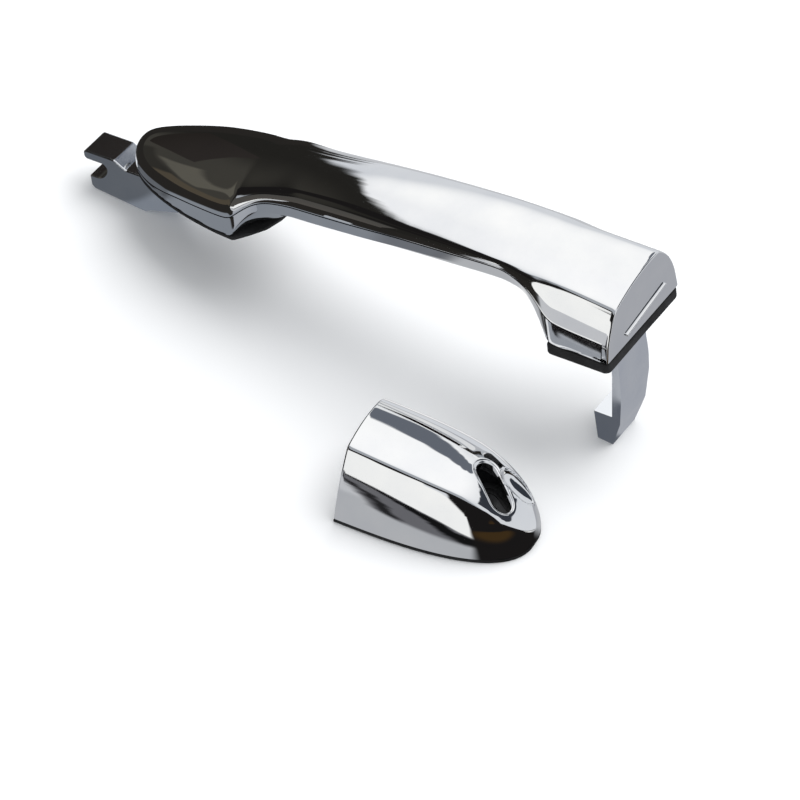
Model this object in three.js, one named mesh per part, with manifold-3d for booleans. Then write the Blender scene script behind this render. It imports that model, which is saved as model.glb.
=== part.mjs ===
// Outside car door handle: a strap grip with its hinge arm and latch leg, and the loose end cap
// that covers the lock cylinder.  Millimetres, +Z up, both pieces as they stand on a table.
import * as THREE from 'three';
import { mergeVertices } from 'three/addons/utils/BufferGeometryUtils.js';
import Module from 'manifold-3d';

const wasm = await Module();
wasm.setup();

// ---------------------------------------------------------------- driving dimensions
const GAP = 0.3; // running gap kept between neighbouring pieces
const WALL = 2.2; // moulded wall of the shells
const FLOOR = 2.0; // moulded wall of the finger-side cover
const OVERCUT = 2; // how far a cutting tool runs past the face it opens
const ROUND_SIDES = 10; // facets of a screw hole or boss

// Grip frame: x from the tip of the front pad to the end face, y across, z out from the door skin.
const GRIP_LENGTH = 168;
const GRIP_PITCH = THREE.MathUtils.degToRad(6.83); // the grip stands on its arm and its leg
const GRIP_LIFT = 16.98; // height of the grip frame's origin over the table
const PAD_TIP = 1.4; // where the pad's outline starts
const PAD_END = 48.4; // inner corner of the pad's outline
const PAD_HEEL = 56; // inner end of the pad's foot
const PAD_NEAR = 18.4;
const PAD_FAR = 15.9;
const PAD_FAR_END = 42;
const TIP_SHIFT = 3.4; // the pad's tip lies off the middle, towards the far side
const FRONT_GASKET = 0.9;
const FOOT_START = 149.3;
const FOOT_HALF = 17.8;
const REAR_GASKET = 3;
const END_WALL = 2;
const CAVITY_START = 10; // front end of the shell's hollow
const TRAY_START = 11; // front end of the cover's hollow
const RIB = { near: [-8.6, 6], far: [11.4, 8.7], height: 0.9, proud: 0.7 }; // bar on the end face
const ARM_SLOT = { x0: 12.6, x1: 35.6, side: 1, z1: 8 }; // where the arm passes the cover
const LEG_SLOT = { x0: 160.2, x1: 165, side: 1, z1: 8 };
const BACK_SCREW_FLOOR_RISE = 6; // depth of the cover's screw holes

// Hinge arm: a hooked tongue that seats on the door bracket's pivot rod.
const ARM_NEAR = -3.3;
const ARM_WIDTH = 9.6;
const ARM_SEAT = { x: -12, z: -6.3, r: 4.6 };
const ARM_TOP = -2.1;
const ARM_SCREWS = [{ name: 'arm_screw_1', x: 21 }, { name: 'arm_screw_2', x: 30 }];
const ARM_SCREW_Y = 1.5;
const ARM_SCREW_TIP = -2;
const ARM_SEAT_Z = 6.9; // top of the carrier over the arm

// Latch leg: passes through the door skin, its toe pulls the latch lever.
const LEG_NEAR = -7.6;
const LEG_WIDTH = 14.8;
const LEG_FRONT = 161.9;
const LEG_BACK = 164.2;
const TOE_X = 155.2;
const TOE_TOP = -26.2;
const LEG_SCREWS = [{ name: 'leg_screw_1', y: -3.6 }, { name: 'leg_screw_2', y: 3.6 }];
const LEG_SCREW_X = 156;
const LEG_SCREW_TIP = 6.2;
const LEG_SEAT_Z = 12.4; // top of the carrier over the leg

const CARRIER_HALF = 6; // half the width of the bar inside the grip

// Screws.
const SCREW_R = 1.1;
const HEAD_R = 2.0;
const HEAD_T = 1.2;
const HEAD_SINK = 1.6; // counterbore of the cover's screws
const BOSS_R = 2.6;
const BLIND_END = 1.6; // boss left above its screw hole

// Cap frame: x from the wide end to the round tip, y across, z out from the door skin.
const CAP_LENGTH = 50.4;
const CAP_HALF = 17.7;
const CAP_GASKET = 1;
const CAP_PLACE = { x: 115.2, y: -54.3, yaw: THREE.MathUtils.degToRad(5.64) };
const KEY_START = { x: 35, y: 1.7 };
const KEY_END = { x: 41.2, y: -2.5 };
const KEY_HALF = 2.9;
const KEY_PLAY = 0.2; // how much wider the frame's key way is than the slot
const SEAL_PLAY = 0.1;
const SCOOP = { x: 42.4, y: 4.7, z: 13.8 }; // middle of the hollow beside the key slot
const SCOOP_HALF = { along: 6.4, across: 2.9, deep: 2.1 };
const SCOOP_DIP = THREE.MathUtils.degToRad(42); // the nose's slope there
const SCOOP_WALL = 1.3; // skin left under the scoop
const CAP_PLATE = { z0: 3, z1: 5 };
const CAP_WINDOW = { x0: 17.5, x1: 28.5, half: 10.6 }; // room for the lock cylinder's head
const CAP_ROOM_END = 47.4;
const CAP_RIM = 3.2; // width of the cap's gasket
const CAP_SCREWS = [{ name: 'cap_screw_1', x: 12, y: -6.5 }, { name: 'cap_screw_2', x: 12, y: 6.5 }];
const CAP_BOSS_TOP = 20.4;
const CAP_HOLE_TOP = 14;
const CAP_SCREW_TIP = 12;
const SEAL = { z0: 7, z1: 9 };
const GUIDE_WALL = 2; // wall of the seal and of the guide around the key hole

// ---------------------------------------------------------------- curve helpers

// Smooth value along x through hand-set stations, with no overshoot between them.
function track(stations) {
  const xs = stations.map((s) => s[0]);
  const vs = stations.map((s) => s[1]);
  const rise = xs.slice(1).map((x, i) => (vs[i + 1] - vs[i]) / (x - xs[i]));
  const slopes = vs.map((_, i) => {
    if (i === 0 || i === vs.length - 1) return i === 0 ? rise[0] : rise[i - 1];
    if (rise[i - 1] * rise[i] <= 0) return 0;
    return (2 * rise[i - 1] * rise[i]) / (rise[i - 1] + rise[i]);
  });
  return (x) => {
    if (x <= xs[0]) return vs[0];
    if (x >= xs[xs.length - 1]) return vs[vs.length - 1];
    const i = xs.findIndex((stop) => stop > x) - 1;
    const span = xs[i + 1] - xs[i];
    const t = (x - xs[i]) / span;
    const near = (1 + 2 * t) * (1 - t) ** 2 * vs[i] + t * (1 - t) ** 2 * span * slopes[i];
    return near + t * t * (3 - 2 * t) * vs[i + 1] + t * t * (t - 1) * span * slopes[i + 1];
  };
}

// Points of a shallow arc from a to b that stands proud of the chord by the given bulge.
function bowed(a, b, bulge, steps) {
  const length = Math.hypot(b[0] - a[0], b[1] - a[1]) || 1;
  const side = [-(b[1] - a[1]) / length, (b[0] - a[0]) / length];
  return Array.from({ length: steps + 1 }, (_, i) => {
    const t = i / steps;
    const rise = 4 * bulge * t * (1 - t);
    return [
      THREE.MathUtils.lerp(a[0], b[0], t) + side[0] * rise,
      THREE.MathUtils.lerp(a[1], b[1], t) + side[1] * rise,
    ];
  });
}

// Inner face of an arched wall: the arch drawn in at its sides and lowered at its crown.
function within(arch, base, wall) {
  const ys = arch.map(([y]) => y);
  const middle = (Math.max(...ys) + Math.min(...ys)) / 2;
  const half = (Math.max(...ys) - Math.min(...ys)) / 2;
  const crown = Math.max(...arch.map(([, z]) => z)) - base;
  const narrow = Math.max(half - wall, 0.5) / half;
  const lower = Math.max(crown - wall, 0.3) / crown;
  return arch.map(([y, z]) => [middle + (y - middle) * narrow, base + (z - base) * lower]);
}

function spread(from, to, steps) {
  return Array.from({ length: steps + 1 }, (_, i) => THREE.MathUtils.lerp(from, to, i / steps));
}

// ---------------------------------------------------------------- solid helpers

// Closed skin through rings of equal length, each ring a list of [y, z] at its own x,
// with a fan of faces over each end.
function loft(stations) {
  const count = stations[0].ring.length;
  const points = stations.flatMap(({ x, ring }) => ring.map(([y, z]) => [x, y, z]));
  const faces = [];
  for (let s = 0; s < stations.length - 1; s += 1) {
    for (let i = 0; i < count; i += 1) {
      const a = s * count + i;
      const b = s * count + ((i + 1) % count);
      faces.push([a, b, b + count], [a, b + count, a + count]);
    }
  }
  [0, stations.length - 1].forEach((s) => {
    const hub = points.length;
    const first = s * count;
    const rim = points.slice(first, first + count);
    points.push([0, 1, 2].map((axis) => rim.reduce((sum, p) => sum + p[axis], 0) / count));
    for (let i = 0; i < count; i += 1) {
      const edge = [first + i, first + ((i + 1) % count)];
      faces.push(s ? [hub, ...edge] : [hub, ...edge.reverse()]);
    }
  });
  const geometry = new THREE.BufferGeometry();
  geometry.setAttribute('position', new THREE.Float32BufferAttribute(points.flat(), 3));
  geometry.setIndex(faces.flat());
  return outward(geometry);
}

// Turns a closed geometry's faces outwards if its signed volume is negative.
function outward(geometry) {
  const index = geometry.index.array;
  const p = geometry.attributes.position;
  const [a, b, c] = [new THREE.Vector3(), new THREE.Vector3(), new THREE.Vector3()];
  let volume = 0;
  for (let i = 0; i < index.length; i += 3) {
    a.fromBufferAttribute(p, index[i]);
    b.fromBufferAttribute(p, index[i + 1]);
    c.fromBufferAttribute(p, index[i + 2]);
    volume += a.dot(b.cross(c));
  }
  if (volume < 0) index.reverse();
  return geometry;
}

function welded(geometry) {
  const bare = geometry.clone();
  bare.deleteAttribute('normal');
  bare.deleteAttribute('uv');
  return mergeVertices(bare, 1e-4);
}

function solidOf(geometry) {
  const bare = welded(geometry);
  return new wasm.Manifold(new wasm.Mesh({
    numProp: 3,
    vertProperties: new Float32Array(bare.attributes.position.array),
    triVerts: new Uint32Array(bare.index.array),
  }));
}

function geometryOf(solid) {
  const mesh = solid.getMesh();
  const geometry = new THREE.BufferGeometry();
  geometry.setAttribute('position', new THREE.BufferAttribute(mesh.vertProperties, 3));
  geometry.setIndex(new THREE.BufferAttribute(mesh.triVerts, 1));
  return geometry;
}

// One geometry from a base, the geometries joined to it and the geometries cut from it.
function build(base, { add = [], cut = [] }) {
  let solid = solidOf(base);
  add.forEach((geometry) => { solid = solid.add(solidOf(geometry)); });
  cut.forEach((geometry) => { solid = solid.subtract(solidOf(geometry)); });
  return geometryOf(solid);
}

function common(a, b) {
  return geometryOf(solidOf(a).intersect(solidOf(b)));
}

function block(x0, x1, y0, y1, z0, z1) {
  const box = new THREE.BoxGeometry(x1 - x0, y1 - y0, z1 - z0);
  return box.translate((x0 + x1) / 2, (y0 + y1) / 2, (z0 + z1) / 2);
}

function post(x, y, z0, z1, radius, sides = 12) {
  const cylinder = new THREE.CylinderGeometry(radius, radius, z1 - z0, sides);
  return cylinder.rotateX(Math.PI / 2).translate(x, y, (z0 + z1) / 2);
}

// Flat outline in x-y, raised from z0 to z1.
function slab(outline, z0, z1, holes = []) {
  const shape = new THREE.Shape(outline.map(([x, y]) => new THREE.Vector2(x, y)));
  shape.holes = holes.map((hole) => new THREE.Path(hole.map(([x, y]) => new THREE.Vector2(x, y))));
  const options = { depth: z1 - z0, bevelEnabled: false, steps: 1 };
  return new THREE.ExtrudeGeometry(shape, options).translate(0, 0, z0);
}

// Side outline in x-z, as wide in y as given.
function sidePlate(outline, y0, width) {
  const shape = new THREE.Shape(outline.map(([x, z]) => new THREE.Vector2(x, z)));
  const plate = new THREE.ExtrudeGeometry(shape, { depth: width, bevelEnabled: false, steps: 1 });
  return plate.rotateX(Math.PI / 2).translate(0, y0 + width, 0);
}

function arcPoints(cx, cy, radius, from, to, steps) {
  return spread(from, to, steps).map((angle) => [
    cx + radius * Math.cos(angle),
    cy + radius * Math.sin(angle),
  ]);
}

function roundedBox(x0, x1, y0, y1, radius) {
  const steps = 4;
  const quarter = Math.PI / 2;
  return [
    ...arcPoints(x1 - radius, y1 - radius, radius, 0, quarter, steps),
    ...arcPoints(x0 + radius, y1 - radius, radius, quarter, 2 * quarter, steps),
    ...arcPoints(x0 + radius, y0 + radius, radius, 2 * quarter, 3 * quarter, steps),
    ...arcPoints(x1 - radius, y0 + radius, radius, 3 * quarter, 4 * quarter, steps),
  ];
}

// Pan-head screw, head upwards unless it is driven from below.
function screw(x, y, seat, tip, fromBelow = false) {
  const headEnd = fromBelow ? seat - HEAD_T : seat + HEAD_T;
  const shank = post(x, y, Math.min(seat, tip), Math.max(seat, tip), SCREW_R - GAP, 10);
  const head = post(x, y, Math.min(seat, headEnd), Math.max(seat, headEnd), HEAD_R);
  const recess = post(x, y, headEnd - HEAD_T / 2, headEnd + HEAD_T / 2, HEAD_R / 2, 6);
  return build(head, { add: [shank], cut: [recess] });
}

// ---------------------------------------------------------------- grip sections

// Side of the pad's outline: blunt at the tip, full width at its inner end.
function padSide(x, end, width, taper, bluntness) {
  const t = THREE.MathUtils.clamp((end - x) / (end - PAD_TIP), 0, 1);
  return width * (1 - t ** taper) ** bluntness;
}
const tipShift = (x) => TIP_SHIFT * Math.exp((PAD_TIP - x) / 4);
const padNear = (x) => tipShift(x) - padSide(x, PAD_END, PAD_NEAR, 1.6, 0.55);
const padFar = (x) => tipShift(x) + padSide(x, PAD_FAR_END, PAD_FAR, 2.4, 0.42);

// Parting line between the outer shell and the finger-side cover.
const splitHalf = track([
  [PAD_END, 17.8], [51, 16], [55, 14], [59, 13], [66, 12.1], [132, 12], [139, 13],
  [143, 14.1], [150, 16.4], [GRIP_LENGTH, 17],
]);
const splitFarHalf = track([[PAD_FAR_END, 15.5], [47, 15], [53, 13.6], [60, 12.5], [66, 12.1]]);
const splitNear = (x) => (x < PAD_END ? padNear(x) * 0.967 : -splitHalf(x));
function splitFar(x) {
  if (x < PAD_FAR_END) return padFar(x) * 0.975;
  return x < 66 ? splitFarHalf(x) : splitHalf(x);
}
const splitZ = track([
  [PAD_TIP, 1.4], [8, 1.8], [15, 2.4], [28, 5], [37, 6.1], [47, 7.1], [51, 10.2], [55, 12.4],
  [59, 13.2], [66, 13.5], [84, 14.6], [100, 16], [116, 17], [132, 17.9], [139, 16.6],
  [143, 14.9], [147, 11.6], [150, 9.8], [GRIP_LENGTH, 8.7],
]);

// Lower edge of the cover's flank, and the cover's underside along its middle.
const lipHalf = track([
  [PAD_END, PAD_NEAR], [50, 17.3], [53, 15], [57, 12.8], [66, 11.6], [132, 11.5], [138.5, 12.2],
  [144, 14.5], [148.3, 17], [FOOT_START, 17.6], [GRIP_LENGTH, FOOT_HALF],
]);
const lipFarHalf = track([[PAD_FAR_END, PAD_FAR], [47, 15.2], [53, 13.2], [60, 11.9], [66, 11.6]]);
const lipNear = (x) => (x < PAD_END ? padNear(x) : -lipHalf(x));
function lipFar(x) {
  if (x < PAD_FAR_END) return padFar(x);
  return x < 66 ? lipFarHalf(x) : lipHalf(x);
}
const padFloor = FRONT_GASKET + GAP;
const footFloor = REAR_GASKET + GAP;
const lipZ = track([
  [PAD_TIP, padFloor], [47.5, padFloor], [50, 5], [53, 8], [57, 9.2], [66, 9.4], [84, 10.6],
  [100, 12], [116, 13], [132, 13.9], [138.5, 13.3], [142, 11.8], [144, 10.3], [146.5, 7],
  [148.3, 4.5], [FOOT_START, footFloor], [GRIP_LENGTH, footFloor],
]);
const undersideZ = track([
  [PAD_TIP, padFloor], [55.5, padFloor], [60, 4.6], [64, 6.4], [70, 7.2], [84, 8.2],
  [100, 9.5], [116, 10.5], [132, 11.4], [138, 11.2], [142, 9.6], [145, 6.6], [147.5, 3.7],
  [FOOT_START, footFloor], [GRIP_LENGTH, footFloor],
]);

// Outer surface: a dome over the pad that turns into a creased, slanted top along the strap.
const crestZ = track([
  [PAD_TIP, 3], [2, 4.4], [5, 6.9], [10, 9], [20, 11.9], [30, 14.2], [40, 16.1], [55, 18.4],
  [70, 20.4], [87, 22], [103, 22.6], [119, 22.8], [135, 22.5], [150, 21.9], [GRIP_LENGTH, 21.3],
]);
const creaseY = track([[PAD_TIP, -10], [66, -10.4], [132, -11.2], [150, -11.6], [168, -12.2]]);
const creaseZ = track([[PAD_TIP, 3], [66, 16.4], [103, 19], [132, 19.9], [150, 19.3], [168, 17.7]]);
const ridgeY = track([[PAD_TIP, 6], [66, 8], [132, 9.2], [168, 9.7]]);
const creaseShare = (x) => THREE.MathUtils.smoothstep(x, 58, 128);

const WALL_STEPS = 3;
const TOP_STEPS = 6;
const UNDER_STEPS = 8;

// Points of the outer surface from the near parting line over the top to the far one.
function topArc(x) {
  const [near, far, low, crest] = [splitNear(x), splitFar(x), splitZ(x), crestZ(x)];
  const crease = [creaseY(x), creaseZ(x)];
  const ridge = [ridgeY(x), crest];
  const creased = [
    ...bowed([near, low], crease, 0.5, WALL_STEPS),
    ...bowed(crease, ridge, 1.3, TOP_STEPS).slice(1),
    ...bowed(ridge, [far, low], 1.4, WALL_STEPS).slice(1),
  ];
  const share = creaseShare(x);
  return creased.map(([y, z], i) => {
    const angle = (Math.PI * i) / (creased.length - 1);
    const domeY = (near + far) / 2 - ((far - near) / 2) * Math.cos(angle);
    const domeZ = low + (crest - low) * Math.sin(angle) ** 0.9;
    return [THREE.MathUtils.lerp(domeY, y, share), THREE.MathUtils.lerp(domeZ, z, share)];
  });
}

// Points of the cover's outside from the far parting line under the grip to the near one.
function underArc(x, drop) {
  const low = splitZ(x) - drop;
  const lip = Math.min(lipZ(x), low - 0.05);
  const middle = Math.min(undersideZ(x), lip);
  const belly = spread(1, -1, UNDER_STEPS).map((t) => [
    THREE.MathUtils.lerp(lipNear(x), lipFar(x), (t + 1) / 2),
    middle + (lip - middle) * Math.abs(t) ** 3.2,
  ]);
  return [[splitFar(x), low], ...belly, [splitNear(x), low]];
}

const gripStations = [
  PAD_TIP + 0.1, 2.2, 3.6, 5.6, ...spread(8, 44, 5), ...spread(47.6, 60, 6),
  ...spread(66, 132, 6), ...spread(138.5, FOOT_START, 6), 157,
  GRIP_LENGTH - END_WALL, GRIP_LENGTH,
];

function loftBetween(x0, x1, ringAt) {
  const inside = gripStations.filter((x) => x > x0 + 0.4 && x < x1 - 0.4);
  return loft([x0, ...inside, x1].map((x) => ({ x, ring: ringAt(x) })));
}

// ---------------------------------------------------------------- grip pieces

const BACK_SCREWS = [
  { name: 'back_screw_1', x: 42, y: -10, floor: padFloor, boss: 13.2 },
  { name: 'back_screw_2', x: 42, y: 9, floor: padFloor, boss: 13.2 },
  { name: 'back_screw_3', x: 154, y: -11, floor: footFloor, boss: 13.8 },
  { name: 'back_screw_4', x: 154, y: 11, floor: footFloor, boss: 13.8 },
];
function gripShell() {
  const front = gripStations[0];
  const skin = loftBetween(front, GRIP_LENGTH, topArc);
  const endWall = loftBetween(GRIP_LENGTH - END_WALL, GRIP_LENGTH, (x) => [
    ...topArc(x), ...underArc(x, 0).slice(1, -1),
  ]);
  const cavityRing = (x) => {
    const arc = within(topArc(x), splitZ(x), WALL);
    const low = splitZ(x) - 1;
    return [[arc[0][0], low], ...arc, [arc[arc.length - 1][0], low]];
  };
  const cavity = loftBetween(CAVITY_START, GRIP_LENGTH - END_WALL, cavityRing);
  const bosses = BACK_SCREWS.map(({ x, y, floor, boss }) => (
    post(x, y, floor + FLOOR + GAP, boss, BOSS_R, ROUND_SIDES)
  ));
  const pilots = BACK_SCREWS.map(({ x, y, floor, boss }) => (
    post(x, y, floor, boss - BLIND_END, SCREW_R, ROUND_SIDES)
  ));
  const hollow = build(skin, { cut: [cavity] });
  return build(hollow, { add: [endWall, endRib(), ...bosses], cut: pilots });
}

// Slanted bar that stands proud of the end face.
function endRib() {
  const { near, far, height, proud } = RIB;
  const ring = [near, far, [far[0], far[1] + height], [near[0], near[1] + height]];
  return loft([GRIP_LENGTH - 1, GRIP_LENGTH + proud].map((x) => ({ x, ring })));
}

function gripBack() {
  const rear = GRIP_LENGTH - END_WALL - GAP;
  const body = loftBetween(gripStations[0], rear, (x) => underArc(x, GAP));
  const tray = loftBetween(TRAY_START, rear + 3, (x) => {
    const middle = (lipFar(x) + lipNear(x)) / 2;
    const narrow = (splitFar(x) - splitNear(x) - 2 * FLOOR) / (lipFar(x) - lipNear(x));
    const top = splitZ(x) + 1;
    const floor = underArc(x, GAP).slice(1, -1).map(([y, z]) => [
      middle + (y - middle) * narrow,
      Math.min(z + FLOOR, top - 0.5),
    ]);
    return [[floor[0][0], top], ...floor, [floor[floor.length - 1][0], top]];
  });
  const armHole = passage(ARM_SLOT, ARM_NEAR, ARM_WIDTH);
  const legHole = passage(LEG_SLOT, LEG_NEAR, LEG_WIDTH);
  const screwHoles = BACK_SCREWS.flatMap(({ x, y, floor }) => [
    post(x, y, floor - OVERCUT, floor + BACK_SCREW_FLOOR_RISE, SCREW_R, ROUND_SIDES),
    post(x, y, floor - OVERCUT, floor + HEAD_SINK, HEAD_R + GAP),
  ]);
  return build(body, { cut: [tray, armHole, legHole, ...screwHoles] });
}

// Hole in the cover around a piece that starts at y and is as wide as given.
function passage({ x0, x1, side, z1 }, y, width) {
  return block(x0, x1, y - side, y + width + side, 0, z1);
}

function gripCarrier() {
  const outline = [
    [16, 4.2], [36, 4.2], [50, 7.5], [62, 10.4], [100, 13], [132, 14.7], [145, 13.4], [151, 9],
    [163.5, 9], [163.5, LEG_SEAT_Z], [152, LEG_SEAT_Z], [146, 16.2], [132, 17.8], [100, 16.6],
    [62, 14.2], [46, 11], [37, ARM_SEAT_Z], [16, ARM_SEAT_Z],
  ];
  const bar = sidePlate(outline, -CARRIER_HALF, 2 * CARRIER_HALF);
  return build(bar, { cut: [...armPilots(), ...legPilots()] });
}

// Screw holes through the carrier into the arm, and through the carrier into the leg.
const armPilots = () => ARM_SCREWS.map(({ x }) => (
  post(x, ARM_SCREW_Y, ARM_SCREW_TIP - OVERCUT, ARM_SEAT_Z + OVERCUT, SCREW_R, ROUND_SIDES)
));
const legPilots = () => LEG_SCREWS.map(({ y }) => (
  post(LEG_SCREW_X, y, LEG_SCREW_TIP - OVERCUT, LEG_SEAT_Z + OVERCUT, SCREW_R, ROUND_SIDES)
));

// Height of the table in the grip frame: the arm's heel and the leg's foot lie flat on it.
function tableZ(x) {
  return -(GRIP_LIFT + x * Math.sin(GRIP_PITCH)) / Math.cos(GRIP_PITCH);
}

function hingeArm() {
  const seat = arcPoints(ARM_SEAT.x, ARM_SEAT.z, ARM_SEAT.r, -Math.PI / 2, 0, 6);
  const jawTop = ARM_SEAT.z - ARM_SEAT.r;
  const outline = [
    [-14.3, ARM_TOP], [-4.1, ARM_TOP], [-0.5, -4.4], [13, -4.4], [14.4, 3.9], [34.4, 3.9],
    [34.4, -0.6], [27, -8.6], [16.5, -13.6], [6.3, tableZ(6.3) + 1.3], [4.3, tableZ(4.3)],
    [-13.2, tableZ(-13.2)], [-14.2, tableZ(-14.2) + 1], [-14.2, jawTop], ...seat,
    [ARM_SEAT.x + ARM_SEAT.r - 1, -5.2], [-14.3, -5.2], [-15.1, -4.5], [-15.1, -2.8],
  ];
  const plate = sidePlate(outline, ARM_NEAR, ARM_WIDTH);
  return build(plate, { cut: armPilots() });
}

function latchLeg() {
  const outline = [
    [152.5, 5.7], [LEG_FRONT, 5.7], [LEG_FRONT, -11.4], [160.8, TOE_TOP], [TOE_X, TOE_TOP],
    [155.7, tableZ(155.7)], [160.4, tableZ(160.4)], [163.2, -28], [LEG_BACK, -18.7],
    [LEG_BACK, 8.7], [152.5, 8.7],
  ];
  const hook = sidePlate(outline, LEG_NEAR, LEG_WIDTH);
  const farEdge = [[8.7, 6.4], [-5, 6.4], [-13, 7.1], [-18, 6.8], [-23, 6.1], [-30, 5.2], [-37, 3.4]];
  const width = farEdge.map(([z, y]) => [y, z]);
  const blank = loft([150, 168].map((x) => ({
    x, ring: [[LEG_NEAR - 1, -37], [LEG_NEAR - 1, 8.7], ...width],
  })));
  return build(common(hook, blank), { cut: legPilots() });
}

function padRing() {
  const stops = [PAD_TIP + 0.1, 1.8, 2.6, 4, 6, 9, 14, 20, 28, 38];
  const near = [...stops, PAD_END].map((x) => [x, padNear(x)]);
  const heel = [[51.4, -14.6], [54.2, -10.4], [55.6, -5.4], [PAD_HEEL, 0], [55.6, 5], [53.4, 10.6]];
  const far = [...stops, PAD_FAR_END, 46].map((x) => [x, lipFar(x)]).reverse();
  return [...near, ...heel, [50, 14], ...far];
}

function frontGasket() {
  const hole = roundedBox(10.8, 37, ARM_NEAR - 1.3, ARM_NEAR + ARM_WIDTH + 1.3, 1.2);
  return slab(padRing(), 0, FRONT_GASKET, [hole]);
}

function rearGasket() {
  const hole = roundedBox(159.8, 165.4, LEG_NEAR - 0.9, LEG_NEAR + LEG_WIDTH + 0.9, 0.8);
  const rim = roundedBox(FOOT_START - 0.6, GRIP_LENGTH, -FOOT_HALF - GAP, FOOT_HALF, 1.6);
  return slab(rim, 0, REAR_GASKET, [hole]);
}

// ---------------------------------------------------------------- cap sections

const capHalf = (x) => CAP_HALF * (1 - Math.min(x / CAP_LENGTH, 0.9995) ** 2.8) ** 0.42;
const capCreaseZ = track([[0, 21.6], [16, 20.6], [30, 18.9], [38.5, 15.6], [45, 11.4], [50.4, 5.5]]);
const capCreaseShare = track([[0, 0.555], [30, 0.6], [44, 0.62], [50.4, 0.5]]);
const capCrestRise = track([[0, 1.7], [30, 1.6], [44, 1], [50.4, 0.3]]);
const capFloor = CAP_GASKET + GAP;

function capRing(x) {
  const half = capHalf(x);
  const crease = [-half * capCreaseShare(x), capCreaseZ(x)];
  const ridge = [half * capCreaseShare(x) * 1.05, capCreaseZ(x) + 0.2];
  return [
    ...bowed([-half, capFloor], crease, 0.9 * (half / CAP_HALF), 4),
    ...bowed(crease, ridge, capCrestRise(x), 7).slice(1),
    ...bowed(ridge, [half, capFloor], 1.4 * (half / CAP_HALF), 4).slice(1),
  ];
}

const capStations = [0, 8, 16, 24, 30, 34, 38, 41.5, 44.5, 47, 48.8, 49.8, 50.3];

function keyOutline(grow) {
  const along = Math.atan2(KEY_END.y - KEY_START.y, KEY_END.x - KEY_START.x);
  const side = Math.PI / 2;
  const radius = KEY_HALF + grow;
  return [
    ...arcPoints(KEY_END.x, KEY_END.y, radius, along - side, along + side, 8),
    ...arcPoints(KEY_START.x, KEY_START.y, radius, along + side, along + 3 * side, 8),
  ];
}

// The room inside the cap's skin, its walls the given distance in from the outside.
function capRoom(wall, x0, x1) {
  const inside = capStations.filter((x) => x > x0 + 1 && x < x1 - 0.4);
  return loft([x0, ...inside, x1].map((x) => {
    const arc = within(capRing(x), capFloor, wall);
    return { x, ring: [[arc[0][0], -1], ...arc, [arc[arc.length - 1][0], -1]] };
  }));
}

function scoopForm(grow) {
  const { along, across, deep } = SCOOP_HALF;
  const ball = new THREE.SphereGeometry(1, 28, 20).scale(along + grow, across + grow, deep + grow);
  return ball.rotateY(SCOOP_DIP).translate(SCOOP.x, SCOOP.y, SCOOP.z);
}

function capShell() {
  const skin = loft(capStations.map((x) => ({ x, ring: capRing(x) })));
  const room = capRoom(WALL, WALL, CAP_ROOM_END);
  const bosses = CAP_SCREWS.map(({ x, y }) => (
    post(x, y, CAP_PLATE.z1 + GAP, CAP_BOSS_TOP, BOSS_R, ROUND_SIDES)
  ));
  const pilots = CAP_SCREWS.map(({ x, y }) => post(x, y, 0, CAP_HOLE_TOP, SCREW_R, ROUND_SIDES));
  const key = slab(keyOutline(0), 0, 40);
  const lining = common(scoopForm(SCOOP_WALL), skin);
  const hollow = build(skin, { cut: [room] });
  return build(hollow, { add: [...bosses, lining], cut: [...pilots, key, scoopForm(0)] });
}

// Plan outline of the cap, drawn in from its wall by the given amount.
function capPlan(drawIn) {
  const stops = [0, 12, 24, 34, 41, 46, 49, 50.2];
  const scale = (CAP_LENGTH - 2 * drawIn) / CAP_LENGTH;
  const near = stops.map((x) => [drawIn + x * scale, -Math.max(capHalf(x) - drawIn, 0.5)]);
  const far = near.map(([x, y]) => [x, -y]).reverse();
  return [...near, ...far];
}

// The room that a piece inside the cap may fill.
const looseRoom = () => capRoom(WALL + GAP + 0.1, WALL + GAP, CAP_ROOM_END - GAP - 0.1);

function capCarrier() {
  const { z0, z1 } = CAP_PLATE;
  const layer = block(0, CAP_LENGTH, -CAP_HALF, CAP_HALF, z0, z1);
  const guide = slab(keyOutline(GUIDE_WALL + KEY_PLAY), z0, SEAL.z0 - GAP);
  const bore = slab(keyOutline(KEY_PLAY), 0, SEAL.z1);
  const holes = CAP_SCREWS.map(({ x, y }) => post(x, y, 0, SEAL.z1, SCREW_R, ROUND_SIDES));
  const frame = roundedBox(CAP_WINDOW.x0, CAP_WINDOW.x1, -CAP_WINDOW.half, CAP_WINDOW.half, 1.5);
  const plate = common(build(layer, { add: [guide] }), looseRoom());
  return build(plate, { cut: [bore, slab(frame, 0, SEAL.z1), ...holes] });
}

function capGasket() {
  return slab(capPlan(0), 0, CAP_GASKET, [capPlan(CAP_RIM)]);
}

function cylinderSeal() {
  const ring = common(slab(keyOutline(GUIDE_WALL), SEAL.z0, SEAL.z1), looseRoom());
  return build(ring, { cut: [slab(keyOutline(SEAL_PLAY), 0, SEAL.z1 + OVERCUT)] });
}

// ---------------------------------------------------------------- assembly

const FINISHES = {
  chrome: { color: 0xd9dcdf, roughness: 0.05, metalness: 1 },
  plated: { color: 0xaab0b6, roughness: 0.16, metalness: 1 },
  rubber: { color: 0x0c0c0d, roughness: 0.7, metalness: 0 },
  nylon: { color: 0x17181a, roughness: 0.55, metalness: 0 },
  steel: { color: 0x8c9094, roughness: 0.35, metalness: 1 },
};

function piece(name, finish, geometry) {
  const mesh = new THREE.Mesh(geometry, new THREE.MeshStandardMaterial(FINISHES[finish]));
  mesh.name = name;
  return mesh;
}

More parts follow.
